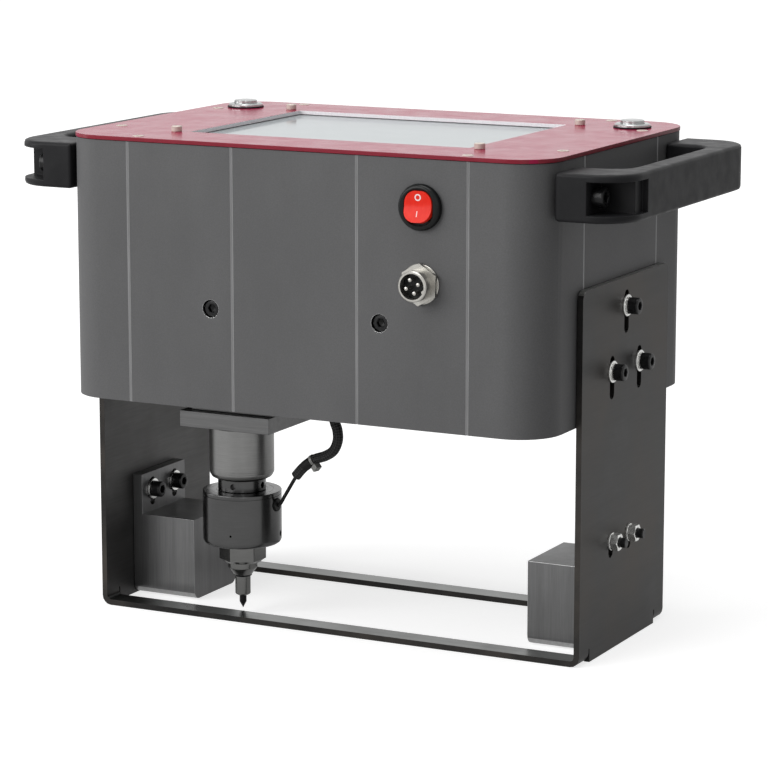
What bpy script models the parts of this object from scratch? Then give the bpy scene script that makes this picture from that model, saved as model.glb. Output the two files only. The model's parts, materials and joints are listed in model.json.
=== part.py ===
"""Portable dot-peen marking machine, for Blender 4.5 (metres, +Z up).

The origin is on the floor below the middle of the whole machine. X runs along the long side and -Y is the
operator's side. A sheet-steel leg frame carries a casing that is clamped in its slots. Inside the casing
an X stage and a Y stage carry the head plate and the marking head below the casing's open underside.
"""

import math

import bmesh
import bpy
from mathutils import Matrix, Vector

# ---------------------------------------------------------------- general
GAP = 0.0003  # left between pieces that touch
SLIP = 0.0006  # left round a shaft or bolt, on its diameter
OVERRUN = 0.004  # how far a cutter passes the faces that it cuts
WELD = 0.001  # how far one joined shape reaches into the next

# ---------------------------------------------------------------- casing
CASING_LENGTH = 0.270
CASING_DEPTH = 0.188
CASING_HEIGHT = 0.1332
CASING_CORNER = 0.022
CASING_WALL = 0.003
LIP_WIDTH = 0.009
LIP_THICKNESS = 0.003
LIP_CORNER = 0.008
GROOVE_WIDTH = 0.0015
GROOVE_DEPTH = 0.0006
FRONT_GROOVES = (0.035, 0.095)  # distance from the middle, both ways
SIDE_GROOVE = 0.0465
PAD_THICKNESS = 0.003
PAD_MARGIN = 0.009

# ---------------------------------------------------------------- leg frame
SHEET = 0.003
LEG_CLEARANCE = 0.0006
LEG_DEPTH = 0.110
LEG_HEIGHT = 0.189
LEG_CORNER = 0.005
RAIL_WIDTH = 0.012
BEND_RADIUS = 0.005
RELIEF = 0.001
RELIEF_HEIGHT = 0.007

# M5 socket screws and nuts
BOLT_DIAMETER = 0.005
HEAD_DIAMETER = 0.0085
HEAD_HEIGHT = 0.005
HEX_SOCKET = 0.004
NUT_FLATS = 0.008
NUT_HEIGHT = 0.004
WASHER_STACK = 0.0022  # flat and spring washer under a casing bolt
WASHER = 0.0012  # flat washer under a block bolt or nut
BLOCK_BOLT_PROUD = 0.0035  # bolt's end past its nut
CLAMP_BOLT_PROUD = 0.002  # bolt's end past the pad inside the casing
SLOT_WIDTH = 0.0056

# casing clamp: one slot above, two below
CLAMP_SLOT_HEIGHT = 0.1405  # middle of the two lower slots
CLAMP_ROW_GAP = 0.031
CLAMP_SLOT_LENGTH = 0.022
CLAMP_SPREAD = 0.0175
CLAMP_BOLT_RISE = 0.0225  # lower bolts above the casing's bottom edge
CASING_SET = 0.003  # how far above the middle of its slots the casing is clamped

# ---------------------------------------------------------------- side blocks
BLOCK_WIDTH = 0.0375
BLOCK_DEPTH = 0.045
BLOCK_HEIGHT = 0.0443
BLOCK_MIDDLE = -0.005
BLOCK_ROUND = 0.005
FLANGE_THICKNESS = 0.0055
FLANGE_TOP = 0.066
BLOCK_BOLT_HEIGHT = 0.0565
BLOCK_BOLT_SPREAD = 0.0115
BLOCK_SLOT_LENGTH = 0.0155
BLOCK_SLOT_DROP = 0.00125  # middle of the slot below its bolts
LEG_SLOT_LENGTH = 0.012
LEG_SLOT_DROP = 0.0025
BLOCK_CLEARANCE = 0.0005  # above the surface that the machine stands on

# ---------------------------------------------------------------- top plate and screen
PLATE_THICKNESS = 0.002
PLATE_OVERHANG = 0.0004
WINDOW_LENGTH = 0.158
WINDOW_DEPTH = 0.118
WINDOW_CORNER = 0.001
GLASS_THICKNESS = 0.0011
DISPLAY_LENGTH = 0.183
DISPLAY_DEPTH = 0.141
DISPLAY_THICKNESS = 0.0075
BOARD_LENGTH = 0.120
BOARD_DEPTH = 0.090
BOARD_THICKNESS = 0.0016
BOARD_DROP = 0.018  # board below the display
PILLAR_DIAMETER = 0.006
PILLAR_INSET = 0.005

# ---------------------------------------------------------------- push buttons
BUTTON_X = 0.1145
BUTTON_Y = 0.062
BUTTON_FLANGE = 0.0187
BUTTON_FLANGE_HEIGHT = 0.002
BUTTON_BARREL = 0.0155
BUTTON_LENGTH = 0.021
BUTTON_CAP = 0.0124
BUTTON_PROUD = 0.0019  # cap above its flange, a little more than its travel
BUTTON_FLOOR = 0.002
BUTTON_CHAMFER = 0.0009  # inwards from the flange's edge
BUTTON_CHAMFER_HEIGHT = 0.0006
BUTTON_CAP_DEPTH = 0.008  # of its full width, below the flange's top
BUTTON_CAP_EDGE = 0.0005
BUTTON_STEM_RADIUS = 0.002
BUTTON_STEM_ROOM = 0.0028  # below the stem, more than its travel

# ---------------------------------------------------------------- switch and power socket
CONTROL_X = 0.070
SWITCH_HEIGHT = 0.110  # above the casing's bottom edge
SWITCH_FLANGE = 0.023
SWITCH_FLANGE_PROUD = 0.0034
SWITCH_BARREL = 0.0196
SWITCH_LENGTH = 0.016
SWITCH_EDGE = 0.0005
SWITCH_TAPER = 0.0001  # bezel's side, inwards at its front
ROCKER_WIDTH = 0.0146
ROCKER_HEIGHT = 0.0166
ROCKER_CORNER = 0.0062
ROCKER_TILT = math.radians(10)
ROCKER_PIVOT = 0.0025
ROCKER_PROUD = 0.0002
ROCKER_THICKNESS = 0.0017
ROCKER_PLAY = 0.0003
ROCKER_HUB_DEPTH = 0.0033  # behind the pivot
ROCKER_HUB_WIDTH = 0.0016
ROCKER_SHOULDER = 0.0034
RECESS_DEPTH = 0.0025
WELL_HEIGHT = 0.011
WELL_CORNER = 0.002
WELL_DEPTH = 0.008
SOCKET_HEIGHT = 0.0725
SOCKET_FLANGE = 0.020
SOCKET_FLANGE_PROUD = 0.0010
SOCKET_NUT_FLATS = 0.0182
SOCKET_NUT_HEIGHT = 0.0018
SOCKET_BARREL = 0.0154
SOCKET_PROUD = 0.010
SOCKET_BORE = 0.0128
SOCKET_FACE_DEPTH = 0.006
SOCKET_LENGTH = 0.011
SOCKET_EDGE = 0.0005
SOCKET_FLANGE_EDGE = 0.0003
SOCKET_NUT_TURN = math.radians(28)

# ---------------------------------------------------------------- handles
HANDLE_LENGTH = 0.168
HANDLE_REACH = 0.0375
HANDLE_HEIGHT = 0.0234
HANDLE_BAR = 0.012
HANDLE_FOOT = 0.028
HANDLE_CORNER = 0.020
HANDLE_INNER_CORNER = 0.011
HANDLE_EDGE = 0.0018
HANDLE_BELOW_TOP = 0.0041
POCKET_INSET = 0.017
POCKET_DEPTH = 0.018
POCKET_HEIGHT = 0.016
POCKET_WRAP = 0.027
POCKET_SHALLOW = 0.003
HANDLE_SCREW_INSET = 0.010
HANDLE_SCREW = 0.006
HANDLE_THREAD = 0.015  # depth of the thread in the rear foot

# ---------------------------------------------------------------- X stage
BEAM_THICKNESS = 0.012
BEAM_HEIGHT = 0.050
BEAM_RISE = 0.007  # above the casing's bottom edge
BEAM_LENGTH = 0.226
BEAM_SCREW_X = 0.0475
BEAM_SCREW_RISE = 0.0515
COUNTERBORE = 0.0092
COUNTERBORE_DEPTH = 0.0032  # into the beam
BEAM_SCREW_LENGTH = 0.0080
RAIL_SECTION_WIDTH = 0.012
RAIL_SECTION_HEIGHT = 0.008
RAIL_RISE = 0.024  # rail's axis above the casing's bottom edge
RAIL_LENGTH = 0.224
RAIL_END_ROOM = 0.0003  # rear rail's end before the motor's flange
CAR_WIDTH = 0.027
CAR_LENGTH = 0.045
CAR_THICKNESS = 0.0097
CAR_STEP = 0.0027  # rail's foot to the car
X_SCREW_Y = 0.069
X_SCREW_RISE = 0.049
SCREW_DIAMETER = 0.008
SCREW_PROUD = 0.001  # screw's free end past its bearing lug
LUG_LENGTH = 0.010
LUG_SIZE = 0.018
MOTOR_SIZE = 0.035
MOTOR_CORNER = 0.005
X_MOTOR_LENGTH = 0.028
MOTOR_FLANGE = 0.0037
X_MOTOR_START = 0.0963
NUT_LENGTH = 0.014
X_NUT_OFFSET = -0.015

# ---------------------------------------------------------------- Y stage and head
HEAD_X = -0.062
HEAD_Y = -0.038
BRIDGE_WIDTH = 0.054
BRIDGE_WALL = 0.004
BRIDGE_TOP_THICKNESS = 0.006
BRIDGE_LOW = 0.003  # above the casing's bottom edge
BRIDGE_HIGH = 0.039
Y_RAIL_OFFSET = -0.008
Y_RAIL_MARGIN = 0.0017  # rail's end to the bridge's end wall
CAR_BEHIND_HEAD = 0.0085
Y_MOTOR_LENGTH = 0.028
Y_MOTOR_START = 0.033
Y_SCREW_RISE = 0.0178  # above the bridge's top
X_NUT_BEHIND = 0.007  # nut's block past its screw's axis
X_NUT_ABOVE = 0.010
Y_LUG_INSET = 0.003  # from the bridge's front end
Y_LUG_LENGTH = 0.008
Y_NUT_SIZE = 0.016
ARM_THICKNESS = 0.005
ARM_CLEARANCE = 0.001
CARRIAGE_FOOT = 0.010
CABLE_TAB = 0.029
CABLE_TAB_WIDTH = 0.018
CABLE_TAB_THICKNESS = 0.0035
CABLE_TAB_ROOM = 0.002  # left round the sleeving, on its diameter
CABLE_CLAMP_LENGTH = 0.014
CABLE_CLAMP_FRONT = 0.0065  # before the cable's axis
CABLE_CLAMP_BACK = 0.006
CABLE_CLAMP_HEIGHT = 0.013
CABLE_X = 0.054  # cable's top end beyond the head's axis

HEAD_PLATE_DROP = 0.0105  # top of the plate below the casing's bottom edge
HEAD_PLATE_WIDTH = 0.053
HEAD_PLATE_DEPTH = 0.080
HEAD_PLATE_THICKNESS = 0.0086
HEAD_PLATE_FRONT = 0.0185  # plate's front edge before the head's axis
SLEEVE_RADIUS = 0.017
SLEEVE_HEIGHT = 0.0276
SLEEVE_CHAMFER = 0.0034
SLEEVE_STEP = (0.0011, 0.0013)  # a point between the chamfer's ends: inwards and upwards
STEM_RADIUS = 0.0088
STEM_LENGTH = 0.024
COLLAR_RADIUS = 0.0126
COLLAR_HEIGHT = 0.0058
SET_SCREW = 0.0034
SET_SCREW_WALL = 0.0012  # left between the set screw's hole and the bore
SET_SCREW_AZIMUTHS = (-82, -2)
HOUSING_RADIUS = 0.02075
HOUSING_HEIGHT = 0.0284
HOUSING_ROUND = 0.0025
HOUSING_WALL = 0.0036
HOUSING_FLOOR = 0.0034
HOUSING_ROOF = 0.0030
HOUSING_EDGE = 0.0005
HOUSING_ROUND_STEP = 0.0007
VENT_AZIMUTH = -78
VENT_RISE = 0.006  # above the housing's underside
VENT_DIAMETER = 0.0018
VENT_DEPTH = 0.002
COIL_BORE = 0.0066
NOSE_RADIUS = 0.0060
NOSE_NUT_FLATS = 0.0215
NOSE_NUT_HEIGHT = 0.0100
NOSE_NUT_TURN = math.radians(-2)
NOSE_NUT_CHAMFER = 0.0016
NOSE_NUT_CHAMFER_INSET = 0.0004  # inside the flats, at the underside
NOSE_NUT_CHAMFER_REACH = 0.0003  # past the corners
NOSE_COLLAR_RADIUS = 0.0078
NOSE_COLLAR_HEIGHT = 0.0030
NOSE_CONE_HEIGHT = 0.0047
TIP_RADIUS = 0.00405
TIP_LENGTH = 0.0104
TIP_CHAMFER = 0.0008
NEEDLE_RADIUS = 0.00185
NEEDLE_PROUD = 0.0031
NEEDLE_POINT = 0.0041
PLUNGER_RADIUS = 0.0060
PLUNGER_LENGTH = 0.013
SPRING_HEIGHT = 0.0064
SPRING_RADIUS = 0.0036
SPRING_WIRE = 0.0004
SPRING_TURNS = 4
GROMMET_RADIUS = 0.0034
GROMMET_PROUD = 0.0008
GROMMET_DROP = 0.0066  # below the housing's top
CABLE_DIAMETER = 0.0019
SLEEVING_DIAMETER = 0.0054

# the head lead's centre line, from the grommet to the clamp: X beyond the head's axis, and height
LEAD_ROUTE = (
    (0.0180, 0.0610),
    (0.0205, 0.0610),
    (0.0228, 0.0618),
    (0.0254, 0.0660),
    (0.0285, 0.0711),
    (0.0322, 0.0772),
)
SLEEVING_ROUTE = (
    (0.0322, 0.0775),
    (0.0362, 0.0820),
    (0.0404, 0.0855),
    (0.0440, 0.0878),
    (0.0497, 0.0899),
    (0.0544, 0.0932),
    (0.0568, 0.0987),
    (0.0566, 0.1040),
    (0.0550, 0.1085),
    (0.0540, 0.1140),
    (0.0540, 0.1200),
    (0.0540, 0.1320),
)

# ---------------------------------------------------------------- places worked out from the sizes
CASING_BOTTOM = CLAMP_SLOT_HEIGHT + CASING_SET - CLAMP_BOLT_RISE
CASING_TOP = CASING_BOTTOM + CASING_HEIGHT
HALF_LENGTH = CASING_LENGTH / 2
HALF_DEPTH = CASING_DEPTH / 2
INNER_X = HALF_LENGTH - CASING_WALL
INNER_Y = HALF_DEPTH - CASING_WALL
LEG_INNER_X = HALF_LENGTH + LEG_CLEARANCE
LEG_OUTER_X = LEG_INNER_X + SHEET
CLAMP_LOW = CASING_BOTTOM + CLAMP_BOLT_RISE
CLAMP_POINTS = (
    (0.0, CLAMP_LOW + CLAMP_ROW_GAP),
    (-CLAMP_SPREAD, CLAMP_LOW),
    (CLAMP_SPREAD, CLAMP_LOW),
)
BLOCK_BOLT_YS = (BLOCK_MIDDLE - BLOCK_BOLT_SPREAD, BLOCK_MIDDLE + BLOCK_BOLT_SPREAD)
PLATE_BOTTOM = CASING_TOP + GAP
PLATE_TOP = PLATE_BOTTOM + PLATE_THICKNESS
BEAM_LOW = CASING_BOTTOM + BEAM_RISE
BEAM_HIGH = BEAM_LOW + BEAM_HEIGHT
BEAM_FACE = INNER_Y - GAP - BEAM_THICKNESS
BEAM_SCREW_SEAT = INNER_Y - GAP - COUNTERBORE_DEPTH
RAIL_FACE = BEAM_FACE - GAP - RAIL_SECTION_HEIGHT
RAIL_Z = CASING_BOTTOM + RAIL_RISE
CAR_OUTER = BEAM_FACE - GAP - CAR_STEP
CAR_INNER = CAR_OUTER - CAR_THICKNESS
X_SCREW_Z = CASING_BOTTOM + X_SCREW_RISE
BRIDGE_HALF_Y = CAR_INNER - GAP
BRIDGE_HALF_X = BRIDGE_WIDTH / 2
BRIDGE_BOTTOM = CASING_BOTTOM + BRIDGE_LOW
BRIDGE_TOP = CASING_BOTTOM + BRIDGE_HIGH
BRIDGE_CEILING = BRIDGE_TOP - BRIDGE_TOP_THICKNESS
Y_RAIL_LENGTH = 2 * (BRIDGE_HALF_Y - BRIDGE_WALL - Y_RAIL_MARGIN)
Y_RAIL_X = HEAD_X + Y_RAIL_OFFSET
Y_CAR_Y = HEAD_Y + CAR_BEHIND_HEAD
Y_CAR_TOP = BRIDGE_CEILING - GAP - CAR_STEP
Y_CAR_BOTTOM = Y_CAR_TOP - CAR_THICKNESS
Y_SCREW_Z = BRIDGE_TOP + Y_SCREW_RISE
HEAD_PLATE_TOP = CASING_BOTTOM - HEAD_PLATE_DROP
HEAD_PLATE_BOTTOM = HEAD_PLATE_TOP - HEAD_PLATE_THICKNESS
SLEEVE_TOP = HEAD_PLATE_BOTTOM - GAP
SLEEVE_BOTTOM = SLEEVE_TOP - SLEEVE_HEIGHT
COLLAR_TOP = SLEEVE_BOTTOM - GAP
HOUSING_TOP = COLLAR_TOP - COLLAR_HEIGHT - GAP
HOUSING_BOTTOM = HOUSING_TOP - HOUSING_HEIGHT
CAVITY_RADIUS = HOUSING_RADIUS - HOUSING_WALL
CAVITY_TOP = HOUSING_TOP - HOUSING_ROOF
CAVITY_BOTTOM = HOUSING_BOTTOM + HOUSING_FLOOR
NOSE_NUT_TOP = HOUSING_BOTTOM - GAP
NOSE_NUT_BOTTOM = NOSE_NUT_TOP - NOSE_NUT_HEIGHT
NOSE_TOP = HOUSING_BOTTOM + HOUSING_FLOOR / 2
NOSE_COLLAR_TOP = NOSE_NUT_BOTTOM - GAP
TIP_TOP = NOSE_COLLAR_TOP - NOSE_COLLAR_HEIGHT - NOSE_CONE_HEIGHT
TIP_BOTTOM = TIP_TOP - TIP_LENGTH
PLUNGER_BOTTOM = NOSE_TOP + GAP + SPRING_HEIGHT + GAP
GROMMET_Z = HOUSING_TOP - GROMMET_DROP
HEAD_AXIS = (HEAD_X, HEAD_Y)


# ---------------------------------------------------------------- materials
def material(name, colour, roughness, metallic=0.0, alpha=1.0):
    surface = bpy.data.materials.new(name)
    surface.use_nodes = True
    shader = surface.node_tree.nodes["Principled BSDF"]
    shader.inputs["Base Color"].default_value = (*colour, 1.0)
    shader.inputs["Roughness"].default_value = roughness
    shader.inputs["Metallic"].default_value = metallic
    shader.inputs["Alpha"].default_value = alpha
    return surface


# ---------------------------------------------------------------- shapes
def arc(centre, radius, start, end, steps):
    """Points of an arc in a plane, from one angle to another in degrees."""
    return [
        (
            centre[0] + radius * math.cos(math.radians(start + (end - start) * i / steps)),
            centre[1] + radius * math.sin(math.radians(start + (end - start) * i / steps)),
        )
        for i in range(steps + 1)
    ]


def rounded_rectangle(half_a, half_b, radius, steps=6):
    outline = []
    for sign_a, sign_b, start in ((1, 1, 0), (-1, 1, 90), (-1, -1, 180), (1, -1, 270)):
        centre = (sign_a * (half_a - radius), sign_b * (half_b - radius))
        outline += arc(centre, radius, start, start + 90, steps)
    return outline


def capsule(centre, width, length, steps=8):
    """A slot's outline: it is long along the second coordinate."""
    reach = (length - width) / 2
    upper = arc((centre[0], centre[1] + reach), width / 2, 0, 180, steps)
    lower = arc((centre[0], centre[1] - reach), width / 2, 180, 360, steps)
    return upper + lower


def on_axis(axis, a, b, along):
    """The outline's plane is YZ for axis X, XZ for axis Y and XY for axis Z."""
    return {"X": (along, a, b), "Y": (a, along, b), "Z": (a, b, along)}[axis]


def prism(outline, axis, low, high):
    shape = bmesh.new()
    ends = [[shape.verts.new(on_axis(axis, a, b, along)) for a, b in outline] for along in (low, high)]
    count = len(outline)
    for i in range(count):
        j = (i + 1) % count
        shape.faces.new((ends[0][i], ends[0][j], ends[1][j], ends[1][i]))
    shape.faces.new(ends[0])
    shape.faces.new(ends[1])
    return shape


def box(low, high):
    corners = [(low[0], low[1]), (high[0], low[1]), (high[0], high[1]), (low[0], high[1])]
    return prism(corners, "Z", low[2], high[2])


def turned(profile, centre, axis="Z", segments=32):
    """Turns (radius, along) points round an axis. Ends at radius 0 are closed, others join up."""
    shape = bmesh.new()
    rings = []
    for radius, along in profile:
        if radius == 0:
            rings.append([shape.verts.new(on_axis(axis, centre[0], centre[1], along))])
            continue
        ring = []
        for i in range(segments):
            turn = 2 * math.pi * i / segments
            a = centre[0] + radius * math.cos(turn)
            b = centre[1] + radius * math.sin(turn)
            ring.append(shape.verts.new(on_axis(axis, a, b, along)))
        rings.append(ring)
    pairs = list(zip(rings, rings[1:]))
    if profile[0][0] > 0:
        pairs.append((rings[-1], rings[0]))
    for one, two in pairs:
        for i in range(segments):
            j = (i + 1) % segments
            corners = [one[i % len(one)], one[j % len(one)], two[j % len(two)], two[i % len(two)]]
            shape.faces.new(list(dict.fromkeys(corners)))
    return shape


def rod(centre, diameter, axis, low, high, segments=20):
    profile = [(0, low), (diameter / 2, low), (diameter / 2, high), (0, high)]
    return turned(profile, centre, axis, segments)


def hexagon(centre, flats, turn=0.0):
    corner = flats / math.sqrt(3)
    return [
        (
            centre[0] + corner * math.cos(turn + math.pi * i / 3),
            centre[1] + corner * math.sin(turn + math.pi * i / 3),
        )
        for i in range(6)
    ]


# ---------------------------------------------------------------- objects
def empty(name, point, parent=None):
    """A joint's own frame: it stands on the joint's axis."""
    mark = bpy.data.objects.new(name, None)
    mark.empty_display_size = 0.02
    bpy.context.collection.objects.link(mark)
    mark["point"] = point
    attach(mark, point, parent)
    return mark


def attach(item, point, parent):
    base = Vector(parent["point"]) if parent else Vector()
    item.parent = parent
    item.location = Vector(point) - base


def mesh_object(name, shape, origin=(0, 0, 0)):
    bmesh.ops.recalc_face_normals(shape, faces=shape.faces)
    bmesh.ops.translate(shape, verts=shape.verts, vec=-Vector(origin))
    mesh = bpy.data.meshes.new(name)
    shape.to_mesh(mesh)
    shape.free()
    item = bpy.data.objects.new(name, mesh)
    bpy.context.collection.objects.link(item)
    return item


def piece(name, shape, surface, parent=None, origin=None, smooth=True):
    point = origin or (parent["point"] if parent else (0, 0, 0))
    item = mesh_object(name, shape, point)
    item.data.materials.append(surface)
    if smooth:
        item.data.shade_smooth()
        item.data.set_sharp_from_angle(angle=math.radians(35))
    attach(item, point, parent)
    return item


def combine(item, operation, *shapes):
    for number, shape in enumerate(shapes):
        helper = mesh_object(f"{item.name}_{operation.lower()}_{len(item.modifiers)}_{number}", shape)
        helper.hide_render = True
        helper.display_type = "WIRE"
        change = item.modifiers.new(operation.title(), "BOOLEAN")
        change.operation = operation
        change.object = helper


def cut(item, *shapes):
    combine(item, "DIFFERENCE", *shapes)


def join(item, *shapes):
    combine(item, "UNION", *shapes)


def bevel(item, width, segments):
    edge = item.modifiers.new("Bevel", "BEVEL")
    edge.width = width
    edge.segments = segments
    edge.limit_method = "ANGLE"
    edge.angle_limit = math.radians(40)


def tube(name, points, diameter, surface, parent, roundness=2):
    """A round cord or wire along points, as a curve with filled caps."""
    base = Vector(parent["point"])
    route = bpy.data.curves.new(name, "CURVE")
    route.dimensions = "3D"
    line = route.splines.new("POLY")
    line.points.add(len(points) - 1)
    for knot, point in zip(line.points, points):
        knot.co = (*(Vector(point) - base), 1.0)
    route.bevel_depth = diameter / 2
    route.bevel_resolution = roundness
    route.use_fill_caps = True
    route.materials.append(surface)
    item = bpy.data.objects.new(name, route)
    bpy.context.collection.objects.link(item)
    attach(item, parent["point"], parent)
    return item


def smooth_line(knots, steps):
    """Points of a Catmull-Rom curve through the knots."""

    def between(a, b, c, d, t):
        square = 2 * a - 5 * b + 4 * c - d
        cube = 3 * b - a - 3 * c + d
        return 0.5 * (2 * b + (c - a) * t + square * t**2 + cube * t**3)

    ends = [knots[0], *knots, knots[-1]]
    points = []
    for four in zip(ends, ends[1:], ends[2:], ends[3:]):
        for i in range(steps):
            points.append(tuple(between(*values, i / steps) for values in zip(*four)))
    return [*points, knots[-1]]


# ---------------------------------------------------------------- leg frame and side blocks
def leg_frame(surface):
    """One bent sheet: two leg plates, and a base that is open between a front and a rear rail."""
    inner_radius = BEND_RADIUS - SHEET
    outer = LEG_OUTER_X
    inner = LEG_INNER_X
    top = LEG_HEIGHT + OVERRUN
    band = [(-outer, top)]
    band += arc((-outer + BEND_RADIUS, BEND_RADIUS), BEND_RADIUS, 180, 270, 4)
    band += arc((outer - BEND_RADIUS, BEND_RADIUS), BEND_RADIUS, 270, 360, 4)
    band += [(outer, top), (inner, top)]
    band += arc((inner - inner_radius, SHEET + inner_radius), inner_radius, 0, -90, 3)
    band += arc((-inner + inner_radius, SHEET + inner_radius), inner_radius, 270, 180, 3)
    band += [(-inner, top)]
    half = LEG_DEPTH / 2
    side = [(-half, -OVERRUN), (half, -OVERRUN)]
    side += arc((half - LEG_CORNER, LEG_HEIGHT - LEG_CORNER), LEG_CORNER, 0, 90, 5)
    side += arc((-half + LEG_CORNER, LEG_HEIGHT - LEG_CORNER), LEG_CORNER, 90, 180, 5)
    frame = piece("leg_frame", prism(band, "Y", -half - OVERRUN, half + OVERRUN), surface)
    combine(frame, "INTERSECT", prism(side, "X", -outer - OVERRUN, outer + OVERRUN))
    window = half - RAIL_WIDTH
    cut(frame, box((-inner, -window, -OVERRUN), (inner, window, BEND_RADIUS + OVERRUN)))
    for sign in (-1, 1):
        low, high = sorted((sign * inner, sign * outer))
        tab = window - RELIEF
        join(frame, box((low, -tab, 0), (high, tab, RELIEF_HEIGHT + OVERRUN)))
        for edge in (-1, 1):
            slit = sorted((edge * tab, edge * window))
            cut(frame, box((low - OVERRUN, slit[0], -OVERRUN), (high + OVERRUN, slit[1], RELIEF_HEIGHT)))
    reach = outer + OVERRUN
    for y, row in ((0, 1), (-CLAMP_SPREAD, 0), (CLAMP_SPREAD, 0)):
        middle = (y, CLAMP_SLOT_HEIGHT + row * CLAMP_ROW_GAP)
        cut(frame, prism(capsule(middle, SLOT_WIDTH, CLAMP_SLOT_LENGTH), "X", -reach, reach))
    for y in BLOCK_BOLT_YS:
        slot = capsule((y, BLOCK_BOLT_HEIGHT - LEG_SLOT_DROP), SLOT_WIDTH, LEG_SLOT_LENGTH)
        cut(frame, prism(slot, "X", -reach, reach))
    return frame


def side_block(name, sign, surface, parent):
    """A steel stop on the inside of a leg plate, with a slotted flange above it."""
    back = LEG_INNER_X - GAP
    front = back - BLOCK_WIDTH
    lip = back - FLANGE_THICKNESS
    foot = BLOCK_CLEARANCE
    outline = [(front, foot), (back, foot), (back, FLANGE_TOP), (lip, FLANGE_TOP)]
    outline += [(lip, BLOCK_HEIGHT), (front, BLOCK_HEIGHT)]
    low = BLOCK_MIDDLE - BLOCK_DEPTH / 2
    high = BLOCK_MIDDLE + BLOCK_DEPTH / 2
    solid = prism([(sign * x, z) for x, z in outline], "Y", low - OVERRUN, high + OVERRUN)
    block = piece(name, solid, surface, parent)
    side = arc((low + BLOCK_ROUND, foot + BLOCK_ROUND), BLOCK_ROUND, 180, 270, 5)
    side += arc((high - BLOCK_ROUND, foot + BLOCK_ROUND), BLOCK_ROUND, 270, 360, 5)
    side += [(high, FLANGE_TOP + OVERRUN), (low, FLANGE_TOP + OVERRUN)]
    reach = back + OVERRUN
    combine(block, "INTERSECT", prism(side, "X", -reach, reach))
    for y in BLOCK_BOLT_YS:
        slot = capsule((y, BLOCK_BOLT_HEIGHT - BLOCK_SLOT_DROP), SLOT_WIDTH, BLOCK_SLOT_LENGTH)
        ends = sorted((sign * (lip - OVERRUN), sign * reach))
        cut(block, prism(slot, "X", *ends))
    return block


def socket_screw(name, point, sign, stem, surface, parent, axis="X"):
    """An M5 socket cap screw. Its head starts at the point and faces the sign's way."""
    seat = {"X": point[0], "Y": point[1]}[axis]
    centre = {"X": (point[1], point[2]), "Y": (point[0], point[2])}[axis]
    profile = [
        (0, -stem),
        (BOLT_DIAMETER / 2, -stem),
        (BOLT_DIAMETER / 2, 0),
        (HEAD_DIAMETER / 2, 0),
        (HEAD_DIAMETER / 2, HEAD_HEIGHT),
        (HEX_SOCKET / 2, HEAD_HEIGHT),
        (HEX_SOCKET / 2, HEAD_HEIGHT / 2),
        (0, HEAD_HEIGHT / 2),
    ]
    shape = turned([(radius, seat + sign * along) for radius, along in profile], centre, axis, 18)
    return piece(name, shape, surface, parent)


def block_fasteners(side, sign, black, zinc):
    for y, place in zip(BLOCK_BOLT_YS, ("front", "rear")):
        head_seat = LEG_INNER_X - GAP - FLANGE_THICKNESS - WASHER
        nut_seat = LEG_OUTER_X + WASHER
        stem = nut_seat + NUT_HEIGHT + BLOCK_BOLT_PROUD - head_seat
        point = (sign * head_seat, y, BLOCK_BOLT_HEIGHT)
        socket_screw(f"{side}_block_bolt_{place}", point, -sign, stem, black, None)
        ends = sorted((sign * nut_seat, sign * (nut_seat + NUT_HEIGHT)))
        nut = piece(
            f"{side}_block_nut_{place}",
            prism(hexagon((y, BLOCK_BOLT_HEIGHT), NUT_FLATS, math.pi / 6), "X", *ends),
            zinc,
            smooth=False,
        )
        bore = rod((y, BLOCK_BOLT_HEIGHT), BOLT_DIAMETER + SLIP, "X", ends[0] - OVERRUN, ends[1] + OVERRUN, 18)
        cut(nut, bore)


# ---------------------------------------------------------------- casing
def grooved_outline():
    """The casing's outer outline, with V grooves on all four sides."""
    straight_x = HALF_LENGTH
    straight_y = HALF_DEPTH
    marks = sorted((*FRONT_GROOVES, *(-x for x in FRONT_GROOVES)))

    def groove(place, face, inward, horizontal):
        half = GROOVE_WIDTH / 2
        points = [(place - half, face), (place, face + inward * GROOVE_DEPTH), (place + half, face)]
        return points if horizontal else [(b, a) for a, b in points]

    radius = CASING_CORNER
    outline = arc((straight_x - radius, -straight_y + radius), radius, 270, 360, 8)
    for y in (-SIDE_GROOVE, SIDE_GROOVE):
        outline += groove(y, straight_x, -1, False)
    outline += arc((straight_x - radius, straight_y - radius), radius, 0, 90, 8)
    for x in reversed(marks):
        outline += groove(x, straight_y, -1, True)[::-1]
    outline += arc((-straight_x + radius, straight_y - radius), radius, 90, 180, 8)
    for y in (SIDE_GROOVE, -SIDE_GROOVE):
        outline += groove(y, -straight_x, 1, False)[::-1]
    outline += arc((-straight_x + radius, -straight_y + radius), radius, 180, 270, 8)
    for x in marks:
        outline += groove(x, -straight_y, 1, True)
    return outline


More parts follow.
